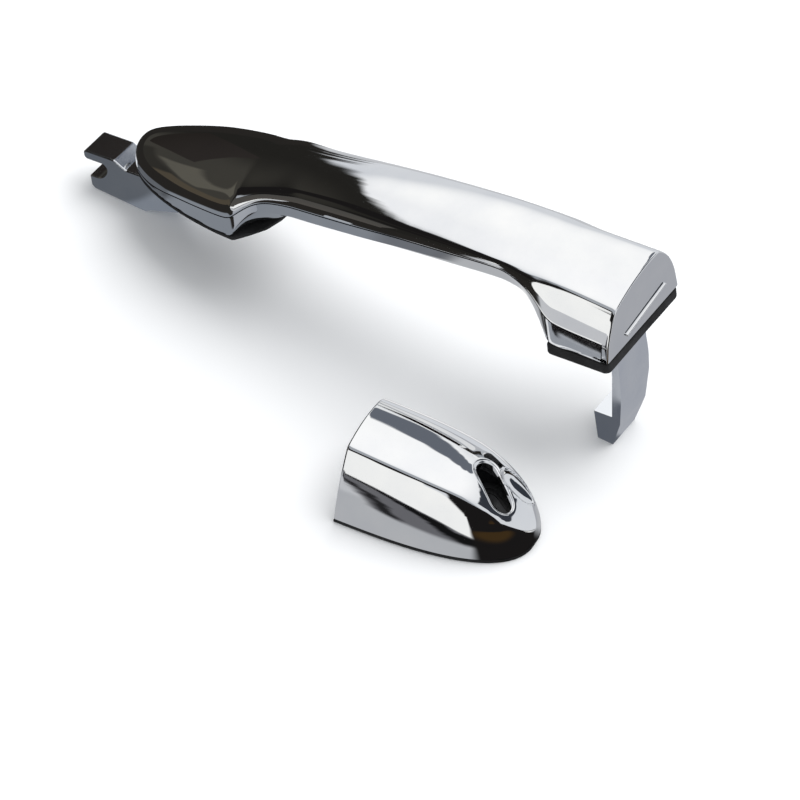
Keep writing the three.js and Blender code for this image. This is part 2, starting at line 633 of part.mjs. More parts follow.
const grip = new THREE.Group();
grip.add(
  piece('grip_shell', 'chrome', gripShell()),
  piece('grip_back', 'chrome', gripBack()),
  piece('grip_carrier', 'nylon', gripCarrier()),
  piece('hinge_arm', 'plated', hingeArm()),
  piece('latch_leg', 'plated', latchLeg()),
  piece('front_gasket', 'rubber', frontGasket()),
  piece('rear_gasket', 'rubber', rearGasket()),
  ...ARM_SCREWS.map(({ name, x }) => (
    piece(name, 'steel', screw(x, ARM_SCREW_Y, ARM_SEAT_Z + GAP, ARM_SCREW_TIP))
  )),
  ...LEG_SCREWS.map(({ name, y }) => (
    piece(name, 'steel', screw(LEG_SCREW_X, y, LEG_SEAT_Z + GAP, LEG_SCREW_TIP))
  )),
  ...BACK_SCREWS.map(({ name, x, y, floor }) => (
    piece(name, 'steel', screw(x, y, floor + HEAD_SINK - GAP, floor + 7, true))
  )),
);
grip.rotation.y = -GRIP_PITCH;
grip.position.z = GRIP_LIFT;

const cap = new THREE.Group();
cap.add(
  piece('cap_shell', 'chrome', capShell()),
  piece('cap_carrier', 'nylon', capCarrier()),
  piece('cap_gasket', 'rubber', capGasket()),
  piece('cylinder_seal', 'rubber', cylinderSeal()),
  ...CAP_SCREWS.map(({ name, x, y }) => (
    piece(name, 'steel', screw(x, y, CAP_PLATE.z0 - GAP, CAP_SCREW_TIP, true))
  )),
);
cap.rotation.z = CAP_PLACE.yaw;
cap.position.set(CAP_PLACE.x, CAP_PLACE.y, 0);

// The row frame's origin is the middle of the standing set, on the table.
const handle = new THREE.Group();
handle.add(grip, cap);
const extent = new THREE.Box3().setFromObject(handle, true);
const middle = extent.getCenter(new THREE.Vector3());
handle.position.set(-middle.x, -middle.y, -extent.min.z);
handle.updateMatrixWorld(true);

export default handle;
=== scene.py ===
"""Looks of an outside car door handle: a chrome strap grip with its hinge arm and latch leg, and its
end cap with a key slot.  Shapes are worked out in millimetres in two local frames, the grip's and
the cap's, and placed in the row frame in metres."""
import math

import bmesh
import bpy
import numpy as np
from mathutils import Matrix, Vector
from mathutils.geometry import delaunay_2d_cdt


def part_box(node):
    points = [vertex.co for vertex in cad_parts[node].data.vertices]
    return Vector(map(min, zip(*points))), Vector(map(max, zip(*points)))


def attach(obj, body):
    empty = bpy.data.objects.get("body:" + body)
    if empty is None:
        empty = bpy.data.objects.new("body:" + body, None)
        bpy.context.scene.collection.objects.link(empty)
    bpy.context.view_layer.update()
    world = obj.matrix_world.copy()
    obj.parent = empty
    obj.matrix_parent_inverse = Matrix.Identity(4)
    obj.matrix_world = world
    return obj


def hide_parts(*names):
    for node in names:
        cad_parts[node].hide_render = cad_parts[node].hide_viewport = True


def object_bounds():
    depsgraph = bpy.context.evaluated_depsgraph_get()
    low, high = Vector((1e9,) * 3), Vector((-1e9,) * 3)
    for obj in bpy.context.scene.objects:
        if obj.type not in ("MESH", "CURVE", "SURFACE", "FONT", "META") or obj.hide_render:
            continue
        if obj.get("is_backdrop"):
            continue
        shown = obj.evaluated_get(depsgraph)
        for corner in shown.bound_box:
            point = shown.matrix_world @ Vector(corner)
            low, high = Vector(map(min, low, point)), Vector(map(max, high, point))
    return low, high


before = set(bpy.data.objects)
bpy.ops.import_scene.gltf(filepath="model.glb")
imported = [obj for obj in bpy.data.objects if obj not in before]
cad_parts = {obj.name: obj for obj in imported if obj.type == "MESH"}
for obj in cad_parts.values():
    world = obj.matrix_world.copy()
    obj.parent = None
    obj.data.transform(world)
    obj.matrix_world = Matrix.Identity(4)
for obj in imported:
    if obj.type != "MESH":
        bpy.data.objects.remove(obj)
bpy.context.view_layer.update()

MM = 0.001

# ------------------------------------------------------------------ driving dimensions, mm
GAP = 0.3
WALL = 2.2
FLOOR = 2.0
GRIP_LENGTH = 168.0
GRIP_PITCH = math.radians(6.83)
GRIP_LIFT = 16.98
PAD_TIP = 1.4
PAD_END = 48.4
PAD_HEEL = 56.0
PAD_NEAR = 18.4
PAD_FAR = 15.9
PAD_FAR_END = 42.0
TIP_SHIFT = 3.4
FRONT_GASKET = 0.9
FOOT_START = 149.3
FOOT_HALF = 17.8
REAR_GASKET = 3.0
END_WALL = 2.0
END_ROUND = 0.55
ARM_NEAR = -3.3
ARM_WIDTH = 9.6
ARM_SEAT = (-12.0, -6.3, 4.6)
ARM_TOP = -2.1
LEG_NEAR = -7.6
LEG_WIDTH = 14.8
LEG_FRONT = 161.9
LEG_BACK = 164.2
TOE_X = 155.2
TOE_TOP = -26.2
SCREW_R = 1.1
HEAD_R = 2.0
HEAD_T = 1.2
HEAD_SINK = 1.6
CAP_LENGTH = 50.4
CAP_HALF = 17.7
CAP_GASKET = 1.0
CAP_X, CAP_Y, CAP_YAW = 115.2, -54.3, math.radians(5.64)
KEY_START = (35.0, 1.7)
KEY_END = (41.2, -2.5)
KEY_HALF = 2.9
SCOOP = (42.4, 4.7)
SCOOP_HALF = (4.8, 2.9)
SCOOP_DEPTH = 2.6
SCOOP_WALL = 1.3
PAD_FLOOR = FRONT_GASKET + GAP
FOOT_FLOOR = REAR_GASKET + GAP
CAP_FLOOR = CAP_GASKET + GAP

# ------------------------------------------------------------------ frames
far_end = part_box("rear_gasket")[1]
arm_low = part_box("hinge_arm")[0]
SHIFT = Vector((far_end.x / MM - GRIP_LENGTH * math.cos(GRIP_PITCH), arm_low.y / MM - ARM_NEAR, 0))
TO_METRES = Matrix.Scale(MM, 4)
GRIP = (TO_METRES @ Matrix.Translation(SHIFT + Vector((0, 0, GRIP_LIFT)))
        @ Matrix.Rotation(-GRIP_PITCH, 4, "Y"))
CAP = (TO_METRES @ Matrix.Translation(SHIFT + Vector((CAP_X, CAP_Y, 0)))
       @ Matrix.Rotation(CAP_YAW, 4, "Z"))


# ------------------------------------------------------------------ curves
def lerp(a, b, t):
    return a + (b - a) * t


def smoothstep(x, low, high):
    t = min(max((x - low) / (high - low), 0.0), 1.0)
    return t * t * (3 - 2 * t)


def blurred(values, sigma):
    """Values run through a bell curve sigma samples wide, their two ends held."""
    reach = max(1, int(3 * sigma))
    count = len(values)
    reach = min(reach, count - 1)
    bell = np.exp(-0.5 * (np.arange(-reach, reach + 1) / sigma) ** 2)
    bell /= bell.sum()
    low = 2 * values[0] - values[reach:0:-1]
    high = 2 * values[-1] - values[-2:-reach - 2:-1]
    padded = np.concatenate([low, values, high])
    if values.ndim == 1:
        return np.convolve(padded, bell, "valid")
    return np.stack([np.convolve(padded[:, k], bell, "valid") for k in range(values.shape[1])], 1)


def track(stations, soft=2.5, step=0.25):
    """Smooth value along x through given stations, rounded over about soft mm."""
    xs = np.array([s[0] for s in stations], float)
    vs = np.array([s[1] for s in stations], float)
    rise = np.diff(vs) / np.diff(xs)
    slopes = np.empty(len(vs))
    slopes[0], slopes[-1] = rise[0], rise[-1]
    for i in range(1, len(vs) - 1):
        product = rise[i - 1] * rise[i]
        slopes[i] = 2 * product / (rise[i - 1] + rise[i]) if product > 0 else 0.0
    grid = np.arange(xs[0], xs[-1] + step / 2, step)
    seg = np.clip(np.searchsorted(xs, grid, "right") - 1, 0, len(xs) - 2)
    span = xs[seg + 1] - xs[seg]
    t = np.clip((grid - xs[seg]) / span, 0, 1)
    table = ((1 + 2 * t) * (1 - t) ** 2 * vs[seg] + t * (1 - t) ** 2 * span * slopes[seg]
             + t * t * (3 - 2 * t) * vs[seg + 1] + t * t * (t - 1) * span * slopes[seg + 1])
    table = blurred(table, soft / step)
    return lambda x: float(np.interp(x, grid, table))


def bow(a, b, bulge, t):
    """Point at share t of a shallow arc from a to b that stands bulge proud of the chord."""
    length = math.hypot(b[0] - a[0], b[1] - a[1]) or 1.0
    rise = 4 * bulge * t * (1 - t)
    return (lerp(a[0], b[0], t) - (b[1] - a[1]) / length * rise,
            lerp(a[1], b[1], t) + (b[0] - a[0]) / length * rise)


def evenly(points, count):
    """The same line with its points spaced evenly along it."""
    points = np.array(points, float)
    lengths = np.concatenate([[0], np.cumsum(np.linalg.norm(np.diff(points, axis=0), axis=1))])
    at = np.linspace(0, lengths[-1], count)
    return np.stack([np.interp(at, lengths, points[:, k]) for k in range(points.shape[1])], 1)


def evenly_round(points, count):
    """The closed line with count points spaced evenly round it."""
    return evenly([*points, points[0]], count + 1)[:-1]


def full_turn(count):
    return np.linspace(0, 2 * math.pi, count, endpoint=False)


def softened(points, count, radius):
    """The line spaced evenly, its corners rounded over about radius mm."""
    line = evenly(points, count)
    spacing = np.linalg.norm(np.diff(line, axis=0), axis=1).mean()
    return blurred(line, max(radius / max(spacing, 1e-6), 0.35))


def within(arch, base, wall):
    """Inner face of an arched wall: drawn in at its sides and lowered at its crown."""
    low, high = arch[:, 0].min(), arch[:, 0].max()
    middle, half = (low + high) / 2, (high - low) / 2
    crown = arch[:, 1].max() - base
    narrow = max(half - wall, 0.5 * half) / half
    lower = max(crown - wall, 0.3 * crown) / crown
    return np.stack([middle + (arch[:, 0] - middle) * narrow, base + (arch[:, 1] - base) * lower], 1)


def arc(cx, cy, radius, start, end, steps):
    angles = np.linspace(start, end, steps + 1)
    return [(cx + radius * math.cos(a), cy + radius * math.sin(a)) for a in angles]


# ------------------------------------------------------------------ meshes
def made(name, points, faces, place, sharp=38):
    """A mesh object from local points in mm, smooth shaded, with edges sharper than sharp kept."""
    mesh = bpy.data.meshes.new(name)
    mesh.from_pydata([place @ Vector(p) for p in points], [], faces)
    mesh.validate()
    bm = bmesh.new()
    bm.from_mesh(mesh)
    bmesh.ops.remove_doubles(bm, verts=bm.verts, dist=2e-6)
    bmesh.ops.dissolve_degenerate(bm, edges=bm.edges, dist=1e-6)
    bmesh.ops.recalc_face_normals(bm, faces=bm.faces)
    bm.to_mesh(mesh)
    bm.free()
    finish_shading(mesh, sharp)
    obj = bpy.data.objects.new(name, mesh)
    bpy.context.scene.collection.objects.link(obj)
    return obj


def finish_shading(mesh, sharp):
    mesh.shade_smooth()
    mesh.set_sharp_from_angle(angle=math.radians(sharp))


def strip(rings):
    """Points and faces of a skin through closed rings of equal length, each a list of 3-D points."""
    count = len(rings[0])
    points = [tuple(p) for ring in rings for p in ring]
    faces = []
    for s in range(len(rings) - 1):
        for i in range(count):
            a, b = s * count + i, s * count + (i + 1) % count
            faces.append((a, b, b + count, a + count))
    return points, faces


def capped(rings, first=True, last=True):
    """A closed skin through rings, with a fan over each open end."""
    points, faces = strip(rings)
    count = len(rings[0])
    for wanted, start in ((first, 0), (last, (len(rings) - 1) * count)):
        if not wanted:
            continue
        hub = len(points)
        points.append(tuple(np.mean(points[start:start + count], axis=0)))
        faces += [(hub, start + i, start + (i + 1) % count) for i in range(count)]
    return points, faces


def baked(obj, sharp=38):
    """Applies the object's modifiers to its mesh."""
    graph = bpy.context.evaluated_depsgraph_get()
    mesh = bpy.data.meshes.new_from_object(obj.evaluated_get(graph))
    obj.modifiers.clear()
    obj.data = mesh
    finish_shading(mesh, sharp)


def without(obj, cutters, sharp=38):
    """Cuts the cutters out of obj and removes them."""
    for cutter in cutters:
        modifier = obj.modifiers.new("cut", "BOOLEAN")
        modifier.operation = "DIFFERENCE"
        modifier.solver = "EXACT"
        modifier.object = cutter
    baked(obj, sharp)
    for cutter in cutters:
        bpy.data.objects.remove(cutter)
    return obj


def rounded(obj, width, segments=3, angle=35):
    """Rolls the object's sharp edges and keeps its flats flat."""
    bevel = obj.modifiers.new("edges", "BEVEL")
    bevel.width = width * MM
    bevel.segments = segments
    bevel.limit_method = "ANGLE"
    bevel.angle_limit = math.radians(angle)
    bevel.miter_outer = "MITER_ARC"
    baked(obj, 60)
    weighted(obj)


def weighted(obj):
    modifier = obj.modifiers.new("flats", "WEIGHTED_NORMAL")
    modifier.keep_sharp = True
    modifier.weight = 80


def prism(name, outline, low, high, place, up="z"):
    """Outline raised from low to high: in x-y for up z, in x-z for up y."""
    def lift(p, level):
        return (p[0], p[1], level) if up == "z" else (p[0], level, p[1])
    count = len(outline)
    points = [lift(p, low) for p in outline] + [lift(p, high) for p in outline]
    faces = [tuple(range(count)), tuple(range(count, 2 * count))]
    faces += [(i, (i + 1) % count, count + (i + 1) % count, count + i) for i in range(count)]
    return made(name, points, faces, place)


def ring_slab(name, outer, inner, low, high, place, edge=0.25):
    """A flat ring between two outlines of equal length, its four edges rounded."""
    outer, inner = np.array(outer, float), np.array(inner, float)
    across = inner - outer
    width = np.linalg.norm(across, axis=1, keepdims=True)
    along = across / np.maximum(width, 1e-6)
    small = np.minimum(edge, width * 0.3)
    steps = [(0, edge), (0.3, 0.3 * edge), (1, 0)]
    rings = []
    for plan, way, level, up, walk in ((outer, 1, low, 1, steps), (inner, -1, low, 1, steps[::-1]),
                                       (inner, -1, high, -1, steps), (outer, 1, high, -1, steps[::-1])):
        for share, rise in walk:
            rings.append([(*p, level + up * rise) for p in plan + way * along * small * share])
    points, faces = strip(rings)
    count = len(outer)
    last = (len(rings) - 1) * count
    faces += [(last + i, last + (i + 1) % count, (i + 1) % count, i) for i in range(count)]
    return made(name, points, faces, place)


# ------------------------------------------------------------------ grip sections
def pad_side(x, end, width, taper, blunt):
    t = min(max((end - x) / (end - PAD_TIP), 0.0), 1.0)
    return width * max(1 - t ** taper, 0.0) ** blunt


def tip_shift(x):
    return TIP_SHIFT * math.exp((PAD_TIP - x) / 4)


def pad_near(x):
    return tip_shift(x) - pad_side(x, PAD_END, PAD_NEAR, 1.6, 0.55)


def pad_far(x):
    return tip_shift(x) + pad_side(x, PAD_FAR_END, PAD_FAR, 2.4, 0.42)


split_half = track([(48.4, 17.8), (51, 16), (55, 14), (59, 13), (66, 12.1), (132, 12), (139, 13),
                    (143, 14.1), (150, 16.4), (168, 17)], 1.2)
split_far_half = track([(42, 15.5), (47, 15), (53, 13.6), (60, 12.5), (66, 12.1)], 1.2)
split_z = track([(1.4, 1.4), (8, 1.8), (15, 2.4), (28, 5), (37, 6.1), (47, 7.1), (51, 10.2),
                 (55, 12.4), (59, 13.2), (66, 13.5), (84, 14.6), (100, 16), (116, 17), (132, 17.9),
                 (139, 16.6), (143, 14.9), (147, 11.6), (150, 9.8), (168, 8.7)], 1.4)
lip_half = track([(48.4, 18.4), (50, 17.3), (53, 15), (57, 12.8), (66, 11.6), (132, 11.5),
                  (138.5, 12.2), (144, 14.5), (148.3, 17), (149.3, 17.6), (168, 17.8)], 0.8)
lip_far_half = track([(42, 15.9), (47, 15.2), (53, 13.2), (60, 11.9), (66, 11.6)], 0.8)
lip_z = track([(1.4, 1.2), (47.5, 1.2), (50, 5), (53, 8), (57, 9.2), (66, 9.4), (84, 10.6),
               (100, 12), (116, 13), (132, 13.9), (138.5, 13.3), (142, 11.8), (144, 10.3),
               (146.5, 7), (148.3, 4.5), (149.3, 3.3), (168, 3.3)], 0.7)
underside_z = track([(1.4, 1.2), (55.5, 1.2), (60, 4.6), (64, 6.4), (70, 7.2), (84, 8.2),
                     (100, 9.5), (116, 10.5), (132, 11.4), (138, 11.2), (142, 9.6), (145, 6.6),
                     (147.5, 3.7), (149.3, 3.3), (168, 3.3)], 1.0)
crest_z = track([(1.4, 3), (2, 4.4), (5, 6.9), (10, 9), (20, 11.9), (30, 14.2), (40, 16.1),
                 (55, 18.4), (70, 20.4), (87, 22), (103, 22.6), (119, 22.8), (135, 22.5),
                 (150, 21.9), (168, 21.3)], 1.2)
crease_y = track([(1.4, -10), (66, -10.4), (132, -11.2), (150, -11.6), (168, -12.2)], 6)
crease_z = track([(1.4, 3), (66, 16.4), (103, 19), (132, 19.9), (150, 19.3), (168, 17.7)], 6)
ridge_y = track([(1.4, 6), (66, 8), (132, 9.2), (168, 9.7)], 6)


def split_near(x):
    return pad_near(x) * 0.967 if x < PAD_END else -split_half(x)


def split_far(x):
    if x < PAD_FAR_END:
        return pad_far(x) * 0.975
    return split_far_half(x) if x < 66 else split_half(x)


def lip_near(x):
    return pad_near(x) if x < PAD_END else -lip_half(x)


def lip_far(x):
    if x < PAD_FAR_END:
        return pad_far(x)
    return lip_far_half(x) if x < 66 else lip_half(x)


TOP_COUNT = 88
CREASE_ROUND = 0.55
CREASE_ROUND_MIDDLE = 1.2
UNDER_COUNT = 72


def top_arc(x):
    """Outer surface from the near parting line over the top to the far one, as y-z points."""
    near, far, low, crest = split_near(x), split_far(x), split_z(x), crest_z(x)
    crease = (crease_y(x), crease_z(x))
    ridge = (ridge_y(x), crest)
    share = smoothstep(x, 58, 128)
    points = []
    for u in np.linspace(0, 12, 97):
        if u <= 3:
            y, z = bow((near, low), crease, 0.5, u / 3)
        elif u <= 9:
            y, z = bow(crease, ridge, 1.3, (u - 3) / 6)
        else:
            y, z = bow(ridge, (far, low), 1.4, (u - 9) / 3)
        angle = math.pi * u / 12
        dome_y = (near + far) / 2 - (far - near) / 2 * math.cos(angle)
        dome_z = low + (crest - low) * max(math.sin(angle), 0.0) ** 0.9
        points.append((lerp(dome_y, y, share), lerp(dome_z, z, share)))
    fuller = smoothstep(x, 80, 112) * smoothstep(x, 152, 140)
    return softened(points, TOP_COUNT, lerp(CREASE_ROUND, CREASE_ROUND_MIDDLE, fuller))


def under_arc(x, drop):
    """Outside of the cover from the far parting line under the grip to the near one."""
    low = split_z(x) - drop
    lip = min(lip_z(x), low - 0.05)
    middle = min(underside_z(x), lip)
    belly = []
    for t in np.linspace(1, -1, 61):
        y = lerp(lip_near(x), lip_far(x), (t + 1) / 2)
        belly.append((y, middle + (lip - middle) * abs(t) ** 3.2))
    line = [(split_far(x), low), *belly, (split_near(x), low)]
    return softened(line, UNDER_COUNT, 0.3)


def stations(start, end, spacing, tip=0.0):
    """Places along x, closer together at a blunt tip."""
    xs = []
    if tip:
        xs = [start + tip * s * s for s in np.linspace(0.05, 1, 16)]
        start += tip
    steps = max(2, int(round((end - start) / spacing)))
    return xs + list(np.linspace(start, end, steps + 1)[1 if xs else 0:])


def shrunk(ring, inset):
    """The ring drawn in by about inset mm towards its middle."""
    low, high = ring.min(0), ring.max(0)
    middle, half = (low + high) / 2, (high - low) / 2
    return middle + (ring - middle) * np.maximum(1 - inset / half, 0.2)


def edge_roll(arch, radius=0.22):
    """The arch with its two lower ends rolled inwards."""
    near, far = arch[0], arch[-1]
    side, up = np.array([1.0, 0.0]), np.array([0.0, 1.0])
    start = [near + radius * side, near + 0.3 * radius * side + 0.1 * radius * up]
    stop = [far - 0.3 * radius * side + 0.1 * radius * up, far - radius * side]
    body = arch.copy()
    body[0] = near + radius * up
    body[-1] = far + radius * up
    return np.array([*start, *body, *stop])


def grip_shell_mesh():
    xs = stations(PAD_TIP, GRIP_LENGTH - END_WALL, 1.0, tip=8)
    rings = []
    for x in xs:
        arch = top_arc(x)
        inner = within(arch, split_z(x), WALL)
        hollow = evenly(inner[::-1], UNDER_COUNT)
        ring = np.concatenate([edge_roll(arch, min(0.22, 0.12 * np.ptp(arch[:, 1]))), hollow])
        rings.append([(x, y, z) for y, z in ring])
    wall = [(GRIP_LENGTH - END_WALL, 0.0), (GRIP_LENGTH - END_WALL * 0.6, 0.0)]
    for angle in np.linspace(0, math.pi / 2, 6):
        depth = END_ROUND * (1 - math.cos(angle))
        wall.append((GRIP_LENGTH - END_ROUND + END_ROUND * math.sin(angle), depth))
    for x, inset in wall:
        ring = np.concatenate([edge_roll(top_arc(x), 1e-4), under_arc(x, 0)])
        rings.append([(x, y, z) for y, z in shrunk(ring, inset)])
    return capped(rings)


def rib_mesh():
    """Slanted bar that stands proud of the end face."""
    near, far, height, proud = np.array([-8.6, 6.0]), np.array([11.4, 8.7]), 0.9, 0.7
    along = (far - near) / np.linalg.norm(far - near)
    up = np.array([-along[1], along[0]])
    middle = (near + far) / 2 + up * height / 2
    half = np.linalg.norm(far - near) / 2
    outline = []
    for cx, start in ((half - height / 2, -math.pi / 2), (-half + height / 2, math.pi / 2)):
        outline += [(cx + height / 2 * math.cos(a), height / 2 * math.sin(a))
                    for a in np.linspace(start, start + math.pi, 13)]
    outline = np.array(outline)
    rings = []
    for x, inset in ((-0.5, 0), (0.4, 0), (0.58, 0.06), (0.67, 0.16), (proud, 0.3)):
        plan = shrunk(outline, inset)
        rings.append([(GRIP_LENGTH + x, *(middle + along * p + up * q)) for p, q in plan])
    return capped(rings)


def grip_back_mesh():
    rear = GRIP_LENGTH - END_WALL - GAP
    rings = []
    for x in stations(PAD_TIP, rear, 1.0, tip=8):
        outer = under_arc(x, GAP)
        low = split_z(x) - GAP
        thin = min(FLOOR, 0.4 * max(low - lip_z(x), 0.5))
        width = split_far(x) - split_near(x)
        narrow = max(width - 2 * FLOOR, 0.6 * width) / width
        middle = (split_far(x) + split_near(x)) / 2
        floor = outer[::-1].copy()
        floor[:, 0] = middle + (floor[:, 0] - middle) * narrow
        floor[:, 1] = np.minimum(floor[:, 1] + thin, low - 0.02)
        rings.append([(x, y, z) for y, z in np.concatenate([outer, floor])])
    return capped(rings)


# ------------------------------------------------------------------ cap sections
cap_crease_z = track([(0, 21.6), (16, 20.6), (30, 18.9), (38.5, 15.6), (45, 11.4), (50.4, 5.5)], 2.0)
cap_crease_share = track([(0, 0.555), (30, 0.6), (44, 0.62), (50.4, 0.5)], 2.0)
cap_crest_rise = track([(0, 1.7), (30, 1.6), (44, 1), (50.4, 0.3)], 2.0)
CAP_COUNT = 96
CAP_TIP = 50.34
CAP_ROUND = 0.6
CAP_RIDGE_ROUND = 2.6
CAP_TOP = (CAP_COUNT * 0.15, CAP_COUNT * 0.85)
SCOOP_SOFT = 0.12
SCOOP_RIM_POINTS = 110
SCOOP_CLEARED = (0.68, 1.02)
SLOT_MARGIN = 0.45
LINE_STEP = 0.5
SCOOP_RINGS = (0.7, 0.8, 0.87, 0.92, 0.95, 0.97, 0.985, 0.998)


def cap_half(x):
    return CAP_HALF * (1 - min(x / CAP_LENGTH, 0.99995) ** 2.8) ** 0.42


def cap_line(x, wall=0.0):
    """Outside of the cap at x from its near base over the top to its far base, as y-z points."""
    half = cap_half(x)
    share = half / CAP_HALF
    crease = (-half * cap_crease_share(x), cap_crease_z(x))
    ridge = (half * cap_crease_share(x) * 1.05, cap_crease_z(x) + 0.2)
    points = [bow((-half, CAP_FLOOR), crease, 0.9 * share, t) for t in np.linspace(0, 1, 25)]
    top = [bow(crease, ridge, cap_crest_rise(x), t) for t in np.linspace(0, 1, 81)[1:]]
    side = [bow(ridge, (half, CAP_FLOOR), 1.4 * share, t) for t in np.linspace(0, 1, 81)[1:]]
    reach = CAP_RIDGE_ROUND * share
    top = [p for p in top if math.dist(p, ridge) > reach]
    side = [p for p in side if math.dist(p, ridge) > reach]
    points += top + [lerp(lerp(np.array(top[-1]), np.array(ridge), t),
                          lerp(np.array(ridge), np.array(side[0]), t), t)
                     for t in np.linspace(0, 1, 15)[1:-1]] + side
    line = softened(points, CAP_COUNT, 0.5)
    if wall:
        line = within(line, CAP_FLOOR, wall)
    if x < CAP_ROUND and not wall:
        inset = CAP_ROUND - math.sqrt(max(CAP_ROUND ** 2 - (CAP_ROUND - x) ** 2, 0))
        line = np.stack([line[:, 0] * (1 - inset / CAP_HALF),
                         CAP_FLOOR + (line[:, 1] - CAP_FLOOR) * (1 - inset / 20)], 1)
    return line


def key_outline(grow, count=72):
    """Closed plan outline of the key slot, wider than the slot by grow on every side."""
    along = math.atan2(KEY_END[1] - KEY_START[1], KEY_END[0] - KEY_START[0])
    radius = KEY_HALF + grow
    quarter = math.pi / 2
    line = arc(*KEY_END, radius, along - quarter, along + quarter, 24)
    line += arc(*KEY_START, radius, along + quarter, along + 3 * quarter, 24)
    return evenly_round(line, count)


def key_distance(x, y):
    """Distance of a plan point from the key slot's outline, negative inside it."""
    a, b, p = np.array(KEY_START), np.array(KEY_END), np.array([x, y])
    t = min(max(np.dot(p - a, b - a) / np.dot(b - a, b - a), 0), 1)
    return float(np.linalg.norm(p - (a + t * (b - a)))) - KEY_HALF


def scoop_share(x, y, grow=0.0):
    """How far out a plan point lies in the hollow, 1 at its rim."""
    return math.hypot((x - SCOOP[0]) / (SCOOP_HALF[0] + grow), (y - SCOOP[1]) / (SCOOP_HALF[1] + grow))


class CapSkin:
    """One skin of the cap over a plane of x and place along its line, with the key slot open."""

    def __init__(self, xs, wall):
        self.xs = np.array(xs)
        self.wall = wall
        self.lines = np.array([cap_line(x, wall) for x in xs])

    def at(self, x, v):
        i = int(np.clip(np.searchsorted(self.xs, x) - 1, 0, len(self.xs) - 2))
        s = np.clip((x - self.xs[i]) / (self.xs[i + 1] - self.xs[i]), 0, 1)
        line = lerp(self.lines[i], self.lines[i + 1], s)
        j = np.clip(v, 0, CAP_COUNT - 1)
        k = np.arange(CAP_COUNT)
        return np.array([np.interp(j, k, line[:, 0]), np.interp(j, k, line[:, 1])])

    def place(self, x, y):
        """Where along its line the skin's top passes y."""
        low, high = CAP_TOP
        for _ in range(30):
            middle = (low + high) / 2
            if self.at(x, middle)[0] < y:
                low = middle
            else:
                high = middle
        return (low + high) / 2

    def scooped(self, x, y, z):
        """The skin's height with the hollow beside the slot, its rim rounded."""
        grow = SCOOP_WALL if self.wall else 0.0
        away = scoop_share(x, y, grow)
        depth = (SCOOP_DEPTH + grow) * math.sqrt(max(1 - away ** 2, 0)) - self.wall
        return z - SCOOP_SOFT * math.log1p(math.exp(depth / SCOOP_SOFT)) * smoothstep(away, 1.04, 0.99)

    def mesh(self, offsets, sink):
        """Points in 3-D, faces, the base loop and the slot loop."""
        flat, kind = [], {}
        margin = offsets[-1] + SLOT_MARGIN
        grid = {}
        for i, x in enumerate(self.xs):
            for j in range(CAP_COUNT):
                y, _ = self.lines[i][j]
                on_top = CAP_TOP[0] < j < CAP_TOP[1] and i < len(self.xs) - 3
                cleared = SCOOP_CLEARED[0] < scoop_share(x, y) < SCOOP_CLEARED[1]
                if on_top and (key_distance(x, y) < margin or cleared):
                    continue
                grid[(i, j)] = len(flat)
                flat.append((x, j * LINE_STEP))
        for share in SCOOP_RINGS:
            for angle in full_turn(SCOOP_RIM_POINTS):
                x = SCOOP[0] + SCOOP_HALF[0] * share * math.cos(angle)
                y = SCOOP[1] + SCOOP_HALF[1] * share * math.sin(angle)
                inland = x < self.xs[-4] and abs(y) < 0.75 * cap_half(x)
                if inland and key_distance(x, y) > margin:
                    flat.append((x, self.place(x, y) * LINE_STEP))
        rings = []
        for k, offset in enumerate(offsets):
            outline = key_outline(offset)
            rings.append([len(flat) + n for n in range(len(outline))])
            for x, y in outline:
                kind[len(flat)] = sink[k]
                flat.append((x, self.place(x, y) * LINE_STEP))
        edges = [(ring[n], ring[(n + 1) % len(ring)]) for ring in rings for n in range(len(ring))]
        result = delaunay_2d_cdt([Vector(p) for p in flat], edges, [], 0, 1e-7)
        out, _, triangles, origin = result[:4]
        points = []
        new_index = {}
        for n, p in enumerate(out):
            for old in origin[n]:
                new_index[old] = n
            y, z = self.at(p.x, p.y / LINE_STEP)
            drop = kind.get(origin[n][0], 0.0) if origin[n] else 0.0
            points.append((p.x, y, self.scooped(p.x, y, z) - drop))
        kept = []
        for face in triangles:
            middle = np.mean([points[n][:2] for n in face], axis=0)
            span = max(out[n].y for n in face) / LINE_STEP
            low = min(out[n].y for n in face) / LINE_STEP
            on_top = low > CAP_TOP[0] and span < CAP_TOP[1]
            if on_top and key_distance(*middle) < offsets[0] - 0.02:
                continue
            kept.append(tuple(face))
        loop = [new_index[n] for n in rings[0]]
        last = len(self.xs) - 1
        base_near = [new_index[grid[(i, 0)]] for i in range(last + 1)]
        base_far = [new_index[grid[(i, CAP_COUNT - 1)]] for i in range(last + 1)]
        start = [new_index[grid[(0, j)]] for j in range(CAP_COUNT)]
        stop = [new_index[grid[(last, j)]] for j in range(CAP_COUNT)]
        return points, kept, loop, (base_near, base_far, start, stop)


